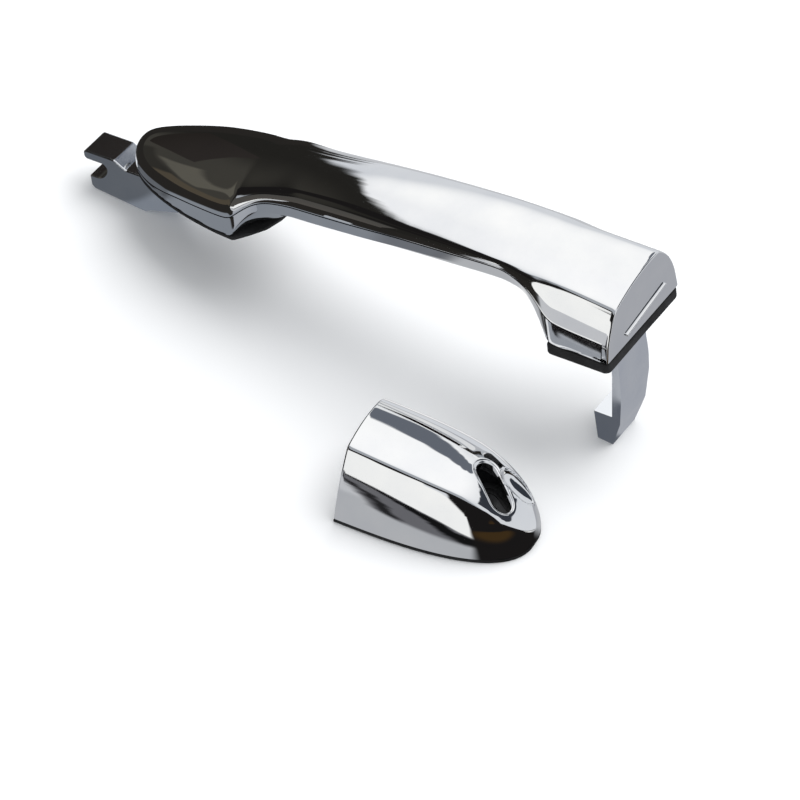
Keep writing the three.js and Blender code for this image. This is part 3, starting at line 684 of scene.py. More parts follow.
def cap_shell_mesh():
    outer_xs = [CAP_ROUND * (1 - math.cos(a)) for a in np.linspace(0, math.pi / 2, 6)]
    outer_xs += list(np.linspace(CAP_ROUND, 44, 55)[1:]) + list(
        44 + (CAP_TIP - 44) * np.sin(np.linspace(0, math.pi / 2, 22)[1:]))
    share = (np.array(outer_xs) - outer_xs[0]) / (outer_xs[-1] - outer_xs[0])
    inner_xs = WALL + share * (47.4 - WALL)
    outer = CapSkin(outer_xs, 0.0)
    inner = CapSkin(inner_xs, WALL)
    rim = [0.0, 0.12, 0.3, 0.42, 0.6, 0.85, 1.2]
    sink = [0.62, 0.5, 0.42, 0.26, 0.08, 0.0, 0.0]
    points, faces, slot, (near, far, start, stop) = outer.mesh(rim, sink)
    more, inner_faces, inner_slot, (near_in, far_in, start_in, stop_in) = inner.mesh(
        [0.0, 0.6, 1.2], [0.0, 0.0, 0.0])
    base = len(points)
    points += more
    faces += [tuple(base + n for n in face) for face in inner_faces]
    faces += bridge(slot, [base + n for n in inner_slot])
    for a, b in ((near, near_in), (far, far_in)):
        for n in range(len(a) - 1):
            faces.append((a[n], a[n + 1], base + b[n + 1], base + b[n]))
    for line, shift in ((start, 0), (stop, 0), (start_in, base), (stop_in, base)):
        hub = len(points)
        points.append(tuple(np.mean([points[shift + n] for n in line], axis=0)))
        faces += [(hub, shift + line[n], shift + line[n + 1]) for n in range(len(line) - 1)]
        faces.append((hub, shift + line[-1], shift + line[0]))
    faces.append((start[0], start[-1], base + start_in[-1], base + start_in[0]))
    faces.append((stop[0], stop[-1], base + stop_in[-1], base + stop_in[0]))
    return points, faces


def bridge(a, b):
    count = len(a)
    return [(a[n], a[(n + 1) % count], b[(n + 1) % count], b[n]) for n in range(count)]


# ------------------------------------------------------------------ arm, leg, gaskets, screws
def table_z(x):
    """Height of the table in the grip frame."""
    return -(GRIP_LIFT + x * math.sin(GRIP_PITCH)) / math.cos(GRIP_PITCH)


def arm_outline():
    sx, sz, radius = ARM_SEAT
    seat = arc(sx, sz, radius, -math.pi / 2, 0, 16)
    return [(-14.3, ARM_TOP), (-4.1, ARM_TOP), (-0.5, -4.4), (13, -4.4), (14.4, 3.9), (34.4, 3.9),
            (34.4, -0.6), (27, -8.6), (16.5, -13.6), (6.3, table_z(6.3) + 1.3), (4.3, table_z(4.3)),
            (-13.2, table_z(-13.2)), (-14.2, table_z(-14.2) + 1), (-14.2, sz - radius), *seat,
            (sx + radius - 1, -5.2), (-14.3, -5.2), (-15.1, -4.5), (-15.1, -2.8)]


def leg_outline():
    return [(152.5, 5.7), (LEG_FRONT, 5.7), (LEG_FRONT, -11.4), (160.8, TOE_TOP), (TOE_X, TOE_TOP),
            (155.7, table_z(155.7)), (160.4, table_z(160.4)), (163.2, -28), (LEG_BACK, -18.7),
            (LEG_BACK, 8.7), (152.5, 8.7)]


def leg_mesh_object():
    hook = prism("latch_leg_form", leg_outline(), LEG_NEAR, LEG_NEAR + LEG_WIDTH, GRIP, up="y")
    edge = track([(-37, 3.4), (-30, 5.2), (-23, 6.1), (-18, 6.8), (-13, 7.1), (-5, 6.4), (8.7, 6.4)], 1.5)
    side = [(edge(z), z) for z in np.linspace(-37.5, 9.5, 40)]
    outline = side + [(12, 9.5), (12, -37.5)]
    rings = [[(x, y, z) for y, z in outline] for x in (149, 168)]
    points, faces = strip(rings)
    count = len(outline)
    faces += [tuple(range(count)), tuple(range(count, 2 * count))]
    return without(hook, [made("leg_side", points, faces, GRIP)], 30)


def rounded_box(x0, x1, y0, y1, radius, count=96):
    quarter = math.pi / 2
    line = []
    for n, (cx, cy) in enumerate(((x1 - radius, y1 - radius), (x0 + radius, y1 - radius),
                                  (x0 + radius, y0 + radius), (x1 - radius, y0 + radius))):
        line += arc(cx, cy, radius, n * quarter, (n + 1) * quarter, 8)
    return evenly_round(line, count)


def aligned(outer, inner):
    """The inner outline turned so that its points lie opposite the outer one's."""
    outer, inner = np.array(outer), np.array(inner)
    middle = inner.mean(0)
    angles = np.unwrap(np.arctan2(outer[:, 1] - middle[1], outer[:, 0] - middle[0]))
    inner_angles = np.unwrap(np.arctan2(inner[:, 1] - middle[1], inner[:, 0] - middle[0]))
    turn = 2 * math.pi
    lap = np.concatenate([inner_angles - turn, inner_angles, inner_angles + turn])
    loop = np.concatenate([inner, inner, inner])
    if lap[0] > lap[-1]:
        lap, loop = lap[::-1], loop[::-1]
    start = angles[0] % turn - (lap[len(inner)] % turn)
    at = angles - angles[0] + lap[len(inner)] + start
    return np.stack([np.interp(at, lap, loop[:, k]) for k in range(2)], 1)


def pad_outline(count=160):
    stops = [PAD_TIP + 6 * s * s for s in np.linspace(0.06, 1, 14)] + list(np.linspace(8.5, 48, 24))
    near = [(x, pad_near(x)) for x in stops] + [(PAD_END, pad_near(PAD_END))]
    heel = [(51.4, -14.6), (54.2, -10.4), (55.6, -5.4), (PAD_HEEL, 0), (55.6, 5), (53.4, 10.6), (50, 14)]
    far_stops = [x for x in stops if x < PAD_FAR_END] + [PAD_FAR_END, 46]
    far = [(x, lip_far(x)) for x in far_stops][::-1]
    line = near + heel + far
    return evenly_round(line, count)


def screw_mesh(x, y, seat, tip, from_below=False):
    """Pan-head screw with a six-sided recess, head upwards unless it is driven from below."""
    way = -1 if from_below else 1
    shank = SCREW_R - GAP
    profile = [(0.001, tip), (shank * 0.6, tip), (shank, tip + way * 0.5), (shank, seat),
               (HEAD_R - 0.1, seat), (HEAD_R, seat + way * 0.1), (HEAD_R, seat + way * 0.6),
               (HEAD_R * 0.93, seat + way * 0.9), (HEAD_R * 0.8, seat + way * 1.1),
               (HEAD_R * 0.66, seat + way * HEAD_T)]
    around = 36
    rings = []
    for radius, z in profile:
        rings.append([(x + radius * math.cos(a), y + radius * math.sin(a), z)
                      for a in full_turn(around)])
    for size, z in ((0.58, HEAD_T), (0.54, HEAD_T - 0.08), (0.5, HEAD_T * 0.4), (0.01, HEAD_T * 0.4)):
        ring = []
        for a in full_turn(around):
            flat = math.cos((a + math.pi / 6) % (math.pi / 3) - math.pi / 6)
            radius = HEAD_R * size * (math.cos(math.pi / 6) / flat)
            ring.append((x + radius * math.cos(a), y + radius * math.sin(a), seat + way * z))
        rings.append(ring)
    return capped(rings)


def post(name, x, y, low, high, radius, place, around=32):
    outline = [(x + radius * math.cos(a), y + radius * math.sin(a))
               for a in full_turn(around)]
    return prism(name, outline, low, high, place)


def box_cutter(name, x0, x1, y0, y1, z0, z1):
    return prism(name, [(x0, y0), (x1, y0), (x1, y1), (x0, y1)], z0, z1, GRIP)


# ------------------------------------------------------------------ materials
def fed(tree, node, values):
    """Fills the node's inputs in order, each from a socket or a fixed value."""
    for socket, value in zip(node.inputs, values):
        if isinstance(value, bpy.types.NodeSocket):
            link(tree, value, socket)
        else:
            socket.default_value = value


def math_node(tree, operation, *values):
    node = tree.nodes.new("ShaderNodeMath")
    node.operation = operation
    fed(tree, node, values)
    return node.outputs[0]


def vector_node(tree, operation, output, *values):
    node = tree.nodes.new("ShaderNodeVectorMath")
    node.operation = operation
    fed(tree, node, values)
    return node.outputs[output]


def nodes_of(name):
    material = bpy.data.materials.new(name)
    material.use_nodes = True
    tree = material.node_tree
    shader = tree.nodes["Principled BSDF"]
    return material, tree, shader


def link(tree, a, b):
    tree.links.new(a, b)


def noise(tree, scale, detail=3.0, rough=0.55, stretch=(1, 1, 1)):
    coords = tree.nodes.new("ShaderNodeTexCoord")
    mapping = tree.nodes.new("ShaderNodeMapping")
    mapping.inputs["Scale"].default_value = stretch
    texture = tree.nodes.new("ShaderNodeTexNoise")
    texture.inputs["Scale"].default_value = scale
    texture.inputs["Detail"].default_value = detail
    texture.inputs["Roughness"].default_value = rough
    link(tree, coords.outputs["Object"], mapping.inputs["Vector"])
    link(tree, mapping.outputs["Vector"], texture.inputs["Vector"])
    return texture.outputs["Fac"]


def spread(tree, value, low, high, start=0.3, end=0.7):
    node = tree.nodes.new("ShaderNodeMapRange")
    node.inputs["From Min"].default_value = start
    node.inputs["From Max"].default_value = end
    node.inputs["To Min"].default_value = low
    node.inputs["To Max"].default_value = high
    link(tree, value, node.inputs["Value"])
    return node.outputs["Result"]


def tinted(tree, value, dark, light, start=0.3, end=0.7):
    ramp = tree.nodes.new("ShaderNodeValToRGB")
    ramp.color_ramp.elements[0].position = start
    ramp.color_ramp.elements[1].position = end
    ramp.color_ramp.elements[0].color = (*dark, 1)
    ramp.color_ramp.elements[1].color = (*light, 1)
    link(tree, value, ramp.inputs["Fac"])
    return ramp.outputs["Color"]


def bumped(tree, shader, value, strength, depth_mm, chain=None):
    bump = tree.nodes.new("ShaderNodeBump")
    bump.inputs["Strength"].default_value = strength
    bump.inputs["Distance"].default_value = depth_mm * MM
    link(tree, value, bump.inputs["Height"])
    if chain is not None:
        link(tree, chain, bump.inputs["Normal"])
    link(tree, bump.outputs["Normal"], shader.inputs["Normal"])
    return bump.outputs["Normal"]


def metal(name, dark, light, rough, grain, bump, wear=0.0):
    """Plated metal: smudges and fine scratches in its gloss, faint unevenness in its skin."""
    material, tree, shader = nodes_of(name)
    shader.inputs["Metallic"].default_value = 1.0
    link(tree, tinted(tree, noise(tree, 90, 4), dark, light), shader.inputs["Base Color"])
    smudge = spread(tree, noise(tree, 55, 5, 0.6), rough[0], rough[1])
    scratch = spread(tree, noise(tree, 900, 2, 0.5, (1, 9, 9)), 0, rough[2], 0.55, 0.8)
    roughness = math_node(tree, "ADD", smudge, scratch)
    if wear:
        roughness = worn(tree, roughness, wear)
    link(tree, roughness, shader.inputs["Roughness"])
    first = bumped(tree, shader, noise(tree, grain, 2), bump[0], bump[1])
    bumped(tree, shader, noise(tree, grain * 7, 3), bump[0], bump[2], first)
    return material


def worn(tree, value, amount):
    """Adds roughness along edges that stand proud."""
    geometry = tree.nodes.new("ShaderNodeNewGeometry")
    edge = spread(tree, geometry.outputs["Pointiness"], 0, amount, 0.52, 0.6)
    return math_node(tree, "ADD", value, edge)


def moulded(name, dark, light, rough, grain, depth):
    """Moulded rubber or nylon: a matte grain with dusty, lighter patches."""
    material, tree, shader = nodes_of(name)
    link(tree, tinted(tree, noise(tree, 160, 5), dark, light), shader.inputs["Base Color"])
    link(tree, spread(tree, noise(tree, 240, 4), rough[0], rough[1]), shader.inputs["Roughness"])
    shader.inputs["Specular IOR Level"].default_value = 0.35
    first = bumped(tree, shader, noise(tree, grain, 3), 0.5, depth)
    bumped(tree, shader, noise(tree, grain * 0.2, 2), 0.4, depth * 2, first)
    return material


CHROME = metal("chrome_plate", (0.80, 0.81, 0.83), (0.86, 0.865, 0.87), (0.015, 0.05, 0.03), 260,
               (0.25, 0.004, 0.0012))
PLATED = metal("plated_casting", (0.74, 0.77, 0.82), (0.82, 0.84, 0.87), (0.05, 0.12, 0.04), 500,
               (0.25, 0.012, 0.004), wear=0.1)
STEEL = metal("zinc_screw", (0.45, 0.46, 0.46), (0.62, 0.62, 0.6), (0.22, 0.4, 0.1), 900,
              (0.5, 0.02, 0.008), wear=0.1)
RUBBER = moulded("black_rubber", (0.006, 0.006, 0.0065), (0.02, 0.02, 0.021), (0.55, 0.8), 2600, 0.02)
NYLON = moulded("black_nylon", (0.012, 0.012, 0.014), (0.03, 0.03, 0.032), (0.4, 0.6), 3200, 0.015)


# ------------------------------------------------------------------ pieces
def piece(obj, body, material, slot, *nodes):
    obj.data.materials.clear()
    obj.data.materials.append(material)
    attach(obj, body)
    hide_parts(*nodes)


def joined(obj, points, faces, place):
    """Adds another closed form to obj's mesh."""
    other = made("more", points, faces, place)
    bm = bmesh.new()
    bm.from_mesh(obj.data)
    bm.from_mesh(other.data)
    bm.to_mesh(obj.data)
    bm.free()
    finish_shading(obj.data, 38)
    bpy.data.objects.remove(other)


shell = made("grip_shell_skin", *grip_shell_mesh(), GRIP)
joined(shell, *rib_mesh(), GRIP)
weighted(shell)
piece(shell, "grip", CHROME, "chrome", "grip_shell")

BACK_SCREWS = {"back_screw_1": (42, -10, PAD_FLOOR), "back_screw_2": (42, 9, PAD_FLOOR),
               "back_screw_3": (154, -11, FOOT_FLOOR), "back_screw_4": (154, 11, FOOT_FLOOR)}
back = made("grip_back_skin", *grip_back_mesh(), GRIP)
cutters = [box_cutter("arm_slot", 12.6, 35.6, ARM_NEAR - 1, ARM_NEAR + ARM_WIDTH + 1, -2, 8),
           box_cutter("leg_slot", 160.2, 165, LEG_NEAR - 1, LEG_NEAR + LEG_WIDTH + 1, -2, 8)]
for label, (x, y, level) in BACK_SCREWS.items():
    cutters.append(post("hole", x, y, level - 2, level + 6, SCREW_R, GRIP))
    cutters.append(post("sink", x, y, level - 2, level + HEAD_SINK, HEAD_R + GAP, GRIP))
without(back, cutters)
piece(back, "grip", CHROME, "chrome", "grip_back")

arm = prism("hinge_arm_casting", arm_outline(), ARM_NEAR, ARM_NEAR + ARM_WIDTH, GRIP, up="y")
rounded(arm, 0.45, 3, 30)
piece(arm, "grip", PLATED, "plated", "hinge_arm")

leg = leg_mesh_object()
leg.name = "latch_leg_casting"
rounded(leg, 0.4, 3, 30)
piece(leg, "grip", PLATED, "plated", "latch_leg")

pad_ring = pad_outline()
arm_hole = rounded_box(10.8, 37, ARM_NEAR - 1.3, ARM_NEAR + ARM_WIDTH + 1.3, 1.2, 160)
front_gasket = ring_slab("front_gasket_rubber", pad_ring, aligned(pad_ring, arm_hole), 0,
                         FRONT_GASKET, GRIP, 0.2)
piece(front_gasket, "door_side", RUBBER, "rubber", "front_gasket")

foot_ring = rounded_box(FOOT_START - 0.6, GRIP_LENGTH, -FOOT_HALF - GAP, FOOT_HALF, 1.6, 160)
leg_hole = rounded_box(159.8, 165.4, LEG_NEAR - 0.9, LEG_NEAR + LEG_WIDTH + 0.9, 0.8, 160)
rear_gasket = ring_slab("rear_gasket_rubber", foot_ring, aligned(foot_ring, leg_hole), 0,
                        REAR_GASKET, GRIP, 0.45)
piece(rear_gasket, "door_side", RUBBER, "rubber", "rear_gasket")

cap = made("cap_shell_skin", *cap_shell_mesh(), CAP)
weighted(cap)
piece(cap, "end_cap", CHROME, "chrome", "cap_shell")


def cap_plan(draw_in, count=160):
    xs = np.concatenate([np.linspace(0, 44, 40), 44 + 6.3 * np.sin(np.linspace(0, math.pi / 2, 20)[1:])])
    scale = (CAP_LENGTH - 2 * draw_in) / CAP_LENGTH
    near = [(draw_in + x * scale, -max(cap_half(x) - draw_in, 0.3)) for x in xs]
    line = near + [(x, -y) for x, y in near[::-1]]
    return evenly_round(line, count)


gasket_ring = cap_plan(0)
cap_gasket = ring_slab("cap_gasket_rubber", gasket_ring, aligned(gasket_ring, cap_plan(3.2)), 0,
                       CAP_GASKET, CAP, 0.25)
piece(cap_gasket, "end_cap", RUBBER, "rubber", "cap_gasket")

seal = ring_slab("cylinder_seal_rubber", key_outline(2, 96), key_outline(0.1, 96), 7, 9, CAP, 0.3)
piece(seal, "end_cap", RUBBER, "rubber", "cylinder_seal")

SCREWS = [(label, GRIP, "grip", x, y, level + HEAD_SINK - GAP, level + 7, True)
          for label, (x, y, level) in BACK_SCREWS.items()]
SCREWS += [("arm_screw_1", GRIP, "grip", 21, 1.5, 7.2, -2),
           ("arm_screw_2", GRIP, "grip", 30, 1.5, 7.2, -2),
           ("leg_screw_1", GRIP, "grip", 156, -3.6, 12.7, 6.2),
           ("leg_screw_2", GRIP, "grip", 156, 3.6, 12.7, 6.2),
           ("cap_screw_1", CAP, "end_cap", 12, -6.5, 2.7, 12, True),
           ("cap_screw_2", CAP, "end_cap", 12, 6.5, 2.7, 12, True)]
for label, place, body, *form in SCREWS:
    piece(made(label + "_steel", *screw_mesh(*form), place, 30), body, STEEL, "steel", label)

for node in ("grip_carrier", "cap_carrier"):
    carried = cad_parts[node]
    carried.data.materials.clear()
    carried.data.materials.append(NYLON)


# ------------------------------------------------------------------ floor, light and camera
def floor_material():
    material, tree, shader = nodes_of("studio_floor")
    link(tree, tinted(tree, noise(tree, 3, 2), (0.86, 0.865, 0.87), (0.88, 0.88, 0.885)),
         shader.inputs["Base Color"])
    shader.inputs["Roughness"].default_value = 0.6
    shader.inputs["Specular IOR Level"].default_value = 0.0
    return material


def disc(name, radius, around=96):
    """A flat disc on the table plane, its radius in mm."""
    rings = [[(r * math.cos(a), r * math.sin(a), 0)
              for a in full_turn(around)]
             for r in (radius * 0.02, radius * 0.3, radius)]
    return made(name, *capped(rings, True, False), TO_METRES)


def times(tree, *values):
    result = values[0]
    for value in values[1:]:
        result = math_node(tree, "MULTIPLY", result, value)
    return result


def dot(tree, vector, axis):
    return vector_node(tree, "DOT_PRODUCT", "Value", vector, axis)


def ramp(tree, value, start, end):
    """0 at start, 1 at end, smooth between."""
    node = tree.nodes.new("ShaderNodeMapRange")
    node.interpolation_type = "SMOOTHSTEP"
    if start > end:
        return math_node(tree, "SUBTRACT", 1.0, ramp(tree, value, end, start))
    node.inputs["From Min"].default_value = start
    node.inputs["From Max"].default_value = end
    link(tree, value, node.inputs["Value"])
    return node.outputs["Result"]


def mixed(tree, share, below, above):
    node = tree.nodes.new("ShaderNodeMix")
    node.data_type = "RGBA"
    link(tree, share, node.inputs["Factor"])
    sockets = [s for s in node.inputs if s.type == "RGBA"]
    for socket, value in zip(sockets, (below, above)):
        if isinstance(value, tuple):
            socket.default_value = (*value, 1)
        else:
            link(tree, value, socket)
    return [s for s in node.outputs if s.type == "RGBA"][0]


def shaken(tree, vector, scale, amount):
    """The vector with a little noise added, which makes painted edges ragged."""
    texture = tree.nodes.new("ShaderNodeTexNoise")
    texture.inputs["Scale"].default_value = scale
    texture.inputs["Detail"].default_value = 3
    link(tree, vector, texture.inputs["Vector"])
    offset = vector_node(tree, "MULTIPLY_ADD", "Vector", texture.outputs["Color"],
                         (amount, amount, amount), (-amount / 2, -amount / 2, -amount / 2))
    return vector_node(tree, "ADD", "Vector", vector, offset)


def heading(azimuth):
    """Unit vector over the floor, with azimuth 0 towards +Y and 90 towards -X."""
    return (-math.sin(math.radians(azimuth)), math.cos(math.radians(azimuth)), 0.0)


def pointing(azimuth, elevation):
    """Unit vector towards an azimuth and elevation in degrees."""
    rise = math.radians(elevation)
    x, y, _ = heading(azimuth)
    return Vector((x * math.cos(rise), y * math.cos(rise), math.sin(rise)))


def lobe(tree, direction, azimuth, elevation, inner, outer):
    """1 within inner degrees of a direction, 0 beyond outer degrees."""
    return ramp(tree, dot(tree, direction, pointing(azimuth, elevation)),
                math.cos(math.radians(outer)), math.cos(math.radians(inner)))


def under(tree, direction, one, other, soft):
    """1 below the great circle through two directions, fading out over soft degrees each way."""
    downwards = pointing(*one).cross(pointing(*other)).normalized()
    if downwards.z > 0:
        downwards = -downwards
    fade = math.sin(math.radians(soft))
    return ramp(tree, dot(tree, direction, downwards), -fade, fade)


def belt(tree, direction, low, high, soft):
    """1 between two elevations in degrees, fading out over soft degrees."""
    height = dot(tree, direction, (0, 0, 1))
    sines = [math.sin(math.radians(e)) for e in (low - soft, low, high, high + soft)]
    return times(tree, ramp(tree, height, sines[0], sines[1]), ramp(tree, height, sines[3], sines[2]))


def sector(tree, direction, start, stop, soft):
    """1 between two azimuths in degrees, fading out over soft degrees."""
    middle, half = (start + stop) / 2, math.radians((stop - start) / 2)
    ahead = dot(tree, direction, heading(middle))
    aside = dot(tree, direction, heading(middle + 90))
    turn = math_node(tree, "ABSOLUTE", math_node(tree, "ARCTAN2", aside, ahead))
    return ramp(tree, turn, half + math.radians(soft), half)


def patch(tree, direction, azimuths, elevations, soft):
    return times(tree, sector(tree, direction, *azimuths, soft), belt(tree, direction, *elevations, soft))


def glow(name, obj, colour_of):
    """Makes obj a card that only mirror reflections see, lit by its own colour."""
    material = bpy.data.materials.new(name)
    material.use_nodes = True
    tree = material.node_tree
    tree.nodes.clear()
    out = tree.nodes.new("ShaderNodeOutputMaterial")
    emission = tree.nodes.new("ShaderNodeEmission")
    coords = tree.nodes.new("ShaderNodeTexCoord")
    link(tree, colour_of(tree, coords.outputs["Object"]), emission.inputs["Color"])
    link(tree, emission.outputs["Emission"], out.inputs["Surface"])
    obj.data.materials.clear()
    obj.data.materials.append(material)
    for ray in ("camera", "diffuse", "shadow", "transmission", "volume_scatter"):
        setattr(obj, "visible_" + ray, False)


# Tones of painted reflections: the dome and the mirrored floor glow only for mirror rays, and set the
# highlights and dark bands that the chrome shows.
RIDGE_REFLECTION = (0.14, 0.155, 0.185)
HOLLOW_REFLECTION = (0.036, 0.041, 0.052)
AMBER = (0.050, 0.029, 0.011)
DOORWAY_EDGE = (0.018, 0.017, 0.015)
BLACK = (0.011, 0.010, 0.010)
PANEL = (1.02, 1.02, 1.0)
PANEL_FOOT = (157, -118)
RIDGE_LINE = ((24, 40), (21, 45), (18, 49), (12, 53), (4, 56), (-6, 57), (-15, 55))


def dome_colour(tree, place):
    """Painted reflections by direction, seen only in mirror rays: a pale studio with a bright glow overhead,
    a dark doorway to the left and a lit panel over a dark horizon in front, with bands set where the cap's
    ridge and hollow mirror them.
    """
    exact = vector_node(tree, "NORMALIZE", "Vector", place)
    ragged = shaken(tree, exact, 9, 0.035)
    colour = mixed(tree, lobe(tree, exact, 40, 80, 12, 50), (0.74, 0.76, 0.79), (1.12, 1.12, 1.12))
    colour = mixed(tree, lobe(tree, exact, 36, 47, 6, 22), colour, (1.12, 1.12, 1.11))
    # Each patch paints a reflected tone for the chrome: dark bands along the cap's ridge and in its hollow,
    # black patches and a lit panel.
    for share, tone in (
            *((lobe(tree, exact, *way, 4.6, 6), RIDGE_REFLECTION) for way in RIDGE_LINE),
            (patch(tree, ragged, (-84, -38), (22, 54), 1.5), HOLLOW_REFLECTION),
            (lobe(tree, ragged, 53, 0, 17, 18.5), DOORWAY_EDGE),
            (patch(tree, exact, (135, 232), (34, 56), 4), (0.40, 0.42, 0.45)),
            (lobe(tree, ragged, 95, -3, 54.5, 56.5), DOORWAY_EDGE),
            (lobe(tree, ragged, 108, 0, 50, 52), DOORWAY_EDGE),
            (lobe(tree, ragged, 70, 0, 30, 33), DOORWAY_EDGE),
            (lobe(tree, exact, 95, 0, 38, 50), (0.050, 0.047, 0.040)),
            (patch(tree, exact, (76, 102), (-6, 12), 5), (0.031, 0.029, 0.025)),
            (patch(tree, exact, (102, 134), (-6, 11), 3), (0.080, 0.066, 0.047)),
            (patch(tree, ragged, (84, 113), (18, 28), 3), (0.110, 0.103, 0.084)),
            (patch(tree, ragged, (136, 157), (26, 35), 2), BLACK),
            (patch(tree, ragged, (157, 238), (16, 30), 2), BLACK),
            (patch(tree, exact, (106, 128), (40, 49.5), 1.5), BLACK),
            (patch(tree, exact, (126, 138), (38, 44.5), 1.5), BLACK),
            (patch(tree, exact, (151.8, 153.8), (-4, 30), 0.8), PANEL),
            (patch(tree, exact, (151.8, 156.3), (-4, 21), 0.8), PANEL),
            (patch(tree, exact, (190, 238), (-4, 30), 3), BLACK),
            (patch(tree, exact, (156.5, 178), (-4, 15.5), 1.5), PANEL),
            (times(tree, under(tree, exact, (178, 11), (200, 1), 0.8),
                   patch(tree, exact, (170, 199.5), (-4, 14), 1)), PANEL),
            (patch(tree, exact, (213, 300), (-4, 2), 1.5), BLACK),
            (lobe(tree, exact, 224, -3, 1, 6.5), AMBER)):
        colour = mixed(tree, share, colour, tone)
    return colour


def beside(tree, place, through, azimuth, soft):
    """1 on the right of a line over the floor through a point in mm, as seen along azimuth."""
    x, y, _ = heading(azimuth)
    point = (Vector((*through, 0)) + SHIFT) * MM
    level = point.x * y - point.y * x
    return ramp(tree, dot(tree, place, (y, -x, 0)), level - soft * MM, level + soft * MM)


def near(tree, place, middle, reach, soft):
    """1 inside an ellipse on the floor, given in mm."""
    point = (Vector((*middle, 0)) + SHIFT) * MM
    away = vector_node(tree, "SUBTRACT", "Vector", place, point)
    squashed = vector_node(tree, "MULTIPLY", "Vector", away,
                           (1 / (reach[0] * MM), 1 / (reach[1] * MM), 0))
    return ramp(tree, vector_node(tree, "LENGTH", "Value", squashed), 1 + soft, 1)


def lane(tree, place, through, azimuth, start, stop, soft):
    """1 in a straight strip over the floor that lies start to stop mm to the right of a line."""
    x, y, _ = heading(azimuth)
    edges = [(through[0] + y * offset, through[1] - x * offset) for offset in (start, stop)]
    return times(tree, beside(tree, place, edges[0], azimuth, soft),
                 inverse(tree, beside(tree, place, edges[1], azimuth, soft)))


def inverse(tree, share):
    return math_node(tree, "SUBTRACT", 1.0, share)


def floor_glow(tree, place):
    """Painted reflections of the floor for mirror rays: grey, dark to the left of the grip and off the cap's
    nose, lit in front of the cap, and shaded beside the strap.
    """
    ragged = shaken(tree, place, 45, 0.012)
    colour = mixed(tree, near(tree, place, (200, 50), (70, 60), 0.5), (0.60, 0.61, 0.63),
                   (0.42, 0.43, 0.46))
    colour = mixed(tree, near(tree, place, (135, -70), (55, 50), 0.4), colour, (0.48, 0.49, 0.51))
    off_cap = inverse(tree, beside(tree, place, (136, -93), 124, 3))
    for start, stop, tone in ((-2, 40, 0.15), (3, 15, 0.008), (31, 37, 0.02)):
        strip_share = times(tree, off_cap, lane(tree, ragged, PANEL_FOOT, 159.5, start, stop, 2.5))
        colour = mixed(tree, strip_share, colour, (tone, tone, tone * 1.08))
    lit = inverse(tree, beside(tree, place, PANEL_FOOT, 159.5, 2))
    colour = mixed(tree, times(tree, lit, off_cap), colour, PANEL)
    left = times(tree, beside(tree, place, (118, -14), 152, 4),
                 inverse(tree, beside(tree, place, (60, 14), 34, 4)))
    colour = mixed(tree, left, colour, (0.022, 0.020, 0.018))
    # Painted reflection of the shaded floor beside the strap.
    by_strap = near(tree, place, (95, -10), (75, 27), 0.25)
    colour = mixed(tree, times(tree, by_strap, left), colour, (0.17, 0.18, 0.20))
    for middle, reach, tone in (((32, -15), (38, 46), (0.24, 0.26, 0.29)),
                                ((-13, -13), (15, 13), (0.13, 0.14, 0.155)),
                                ((112, 30), (38, 36), (0.98, 0.98, 0.97)),
                                ((156, -12), (12, 9), (0.12, 0.13, 0.15))):
        colour = mixed(tree, near(tree, place, middle, reach, 0.25), colour, tone)
    nose = times(tree, inverse(tree, beside(tree, place, (168, -97), -160, 2)),
                 beside(tree, place, (160, -46), -80, 3))
    colour = mixed(tree, nose, colour, BLACK)
    amber = times(tree, nose, near(tree, place, (205, -100), (24, 22), 0.8))
    return mixed(tree, amber, colour, AMBER)


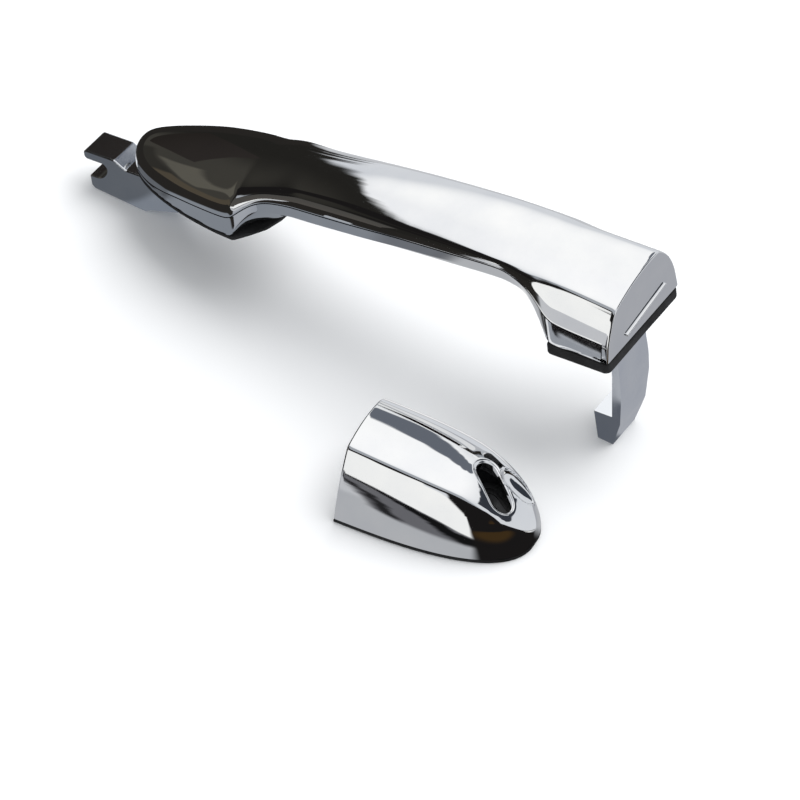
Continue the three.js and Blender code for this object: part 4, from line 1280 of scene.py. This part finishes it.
bpy.ops.mesh.primitive_uv_sphere_add(segments=64, ring_count=32, radius=3.0)
dome = bpy.context.object
dome.name = "studio_dome"
glow("dome_glow", dome, dome_colour)
dome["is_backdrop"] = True
floor = disc("studio_floor", 6000)
floor.data.materials.append(floor_material())
floor.visible_glossy = False
floor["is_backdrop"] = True
mirrored_floor = disc("mirrored_floor", 2900)
glow("floor_glow", mirrored_floor, floor_glow)
mirrored_floor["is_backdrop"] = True


def mirrored_card(name, middle, facing, width, height, low_tone, high_tone):
    """A small card that only mirror reflections see, its middle in mm over the table."""
    x, y = width / 2, height / 2
    place = (TO_METRES @ Matrix.Translation(SHIFT + Vector(middle))
             @ Vector(facing).to_track_quat("Z", "Y").to_matrix().to_4x4())
    card = made(name, [(-x, -y, 0), (x, -y, 0), (x, y, 0), (-x, y, 0)], [(0, 1, 2, 3)], place)
    foot, top = (z * MM for z in (middle[2] - y, middle[2] + y))
    glow(name + "_glow", card, lambda tree, spot: mixed(
        tree, ramp(tree, dot(tree, spot, (0, 0, 1)), foot, top), low_tone, high_tone))
    card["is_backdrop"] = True


# Painted reflections: cards set where only small spots of the chrome mirror them.
mirrored_card("mirrored_card_by_arm", (-47, 42, 56), (-0.545, 0.584, 0.602), 50, 50,
              (0.020, 0.017, 0.015), (0.028, 0.024, 0.022))
mirrored_card("mirrored_card_by_pad", (32, -69, 55), (17, 53, -22), 42, 36,
              (0.085, 0.078, 0.070), (0.075, 0.072, 0.066))
mirrored_card("mirrored_card_low", (59, -42, 14), (-10, 26, 11), 13, 15,
              (0.33, 0.35, 0.39), (0.42, 0.44, 0.47))


def area_light(name, place, target, size, power, colour):
    data = bpy.data.lights.new(name, "AREA")
    data.shape = "RECTANGLE"
    data.size, data.size_y = size
    data.energy = power
    data.color = colour
    light = bpy.data.objects.new(name, data)
    bpy.context.scene.collection.objects.link(light)
    light.location = place
    light.rotation_mode = "QUATERNION"
    light.rotation_quaternion = (Vector(target) - Vector(place)).to_track_quat("-Z", "Y")
    light.visible_glossy = False


area_light("ceiling_softbox", (0.25, 0.55, 1.1), (0.03, -0.02, 0), (1.2, 1.0), 15, (1, 1, 1))

world = bpy.data.worlds.new("studio")
bpy.context.scene.world = world
world.use_nodes = True
world.node_tree.nodes["Background"].inputs["Color"].default_value = (0.86, 0.88, 0.9, 1)
world.node_tree.nodes["Background"].inputs["Strength"].default_value = 0.76

AZIMUTH, ELEVATION, ROLL = math.radians(33.3), math.radians(46.0), math.radians(0.16)
CAMERA_DISTANCE = 1.058
TARGET = (Vector(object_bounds()[0]) + Vector(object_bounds()[1])) / 2 + Vector((0.03933, -0.01084, -0.01341))
camera = bpy.data.cameras.new("camera")
camera.lens = 180.1
camera.clip_start = 0.05
viewer = bpy.data.objects.new("camera", camera)
bpy.context.scene.collection.objects.link(viewer)
back_way = Vector((math.sin(AZIMUTH) * math.cos(ELEVATION), -math.cos(AZIMUTH) * math.cos(ELEVATION),
                   math.sin(ELEVATION)))
viewer.location = TARGET + back_way * CAMERA_DISTANCE
viewer.rotation_mode = "QUATERNION"
viewer.rotation_quaternion = (-back_way).to_track_quat("-Z", "Y") @ Matrix.Rotation(
    ROLL, 4, "Z").to_quaternion()
bpy.context.scene.camera = viewer
bpy.context.scene.view_settings.view_transform = "Standard"
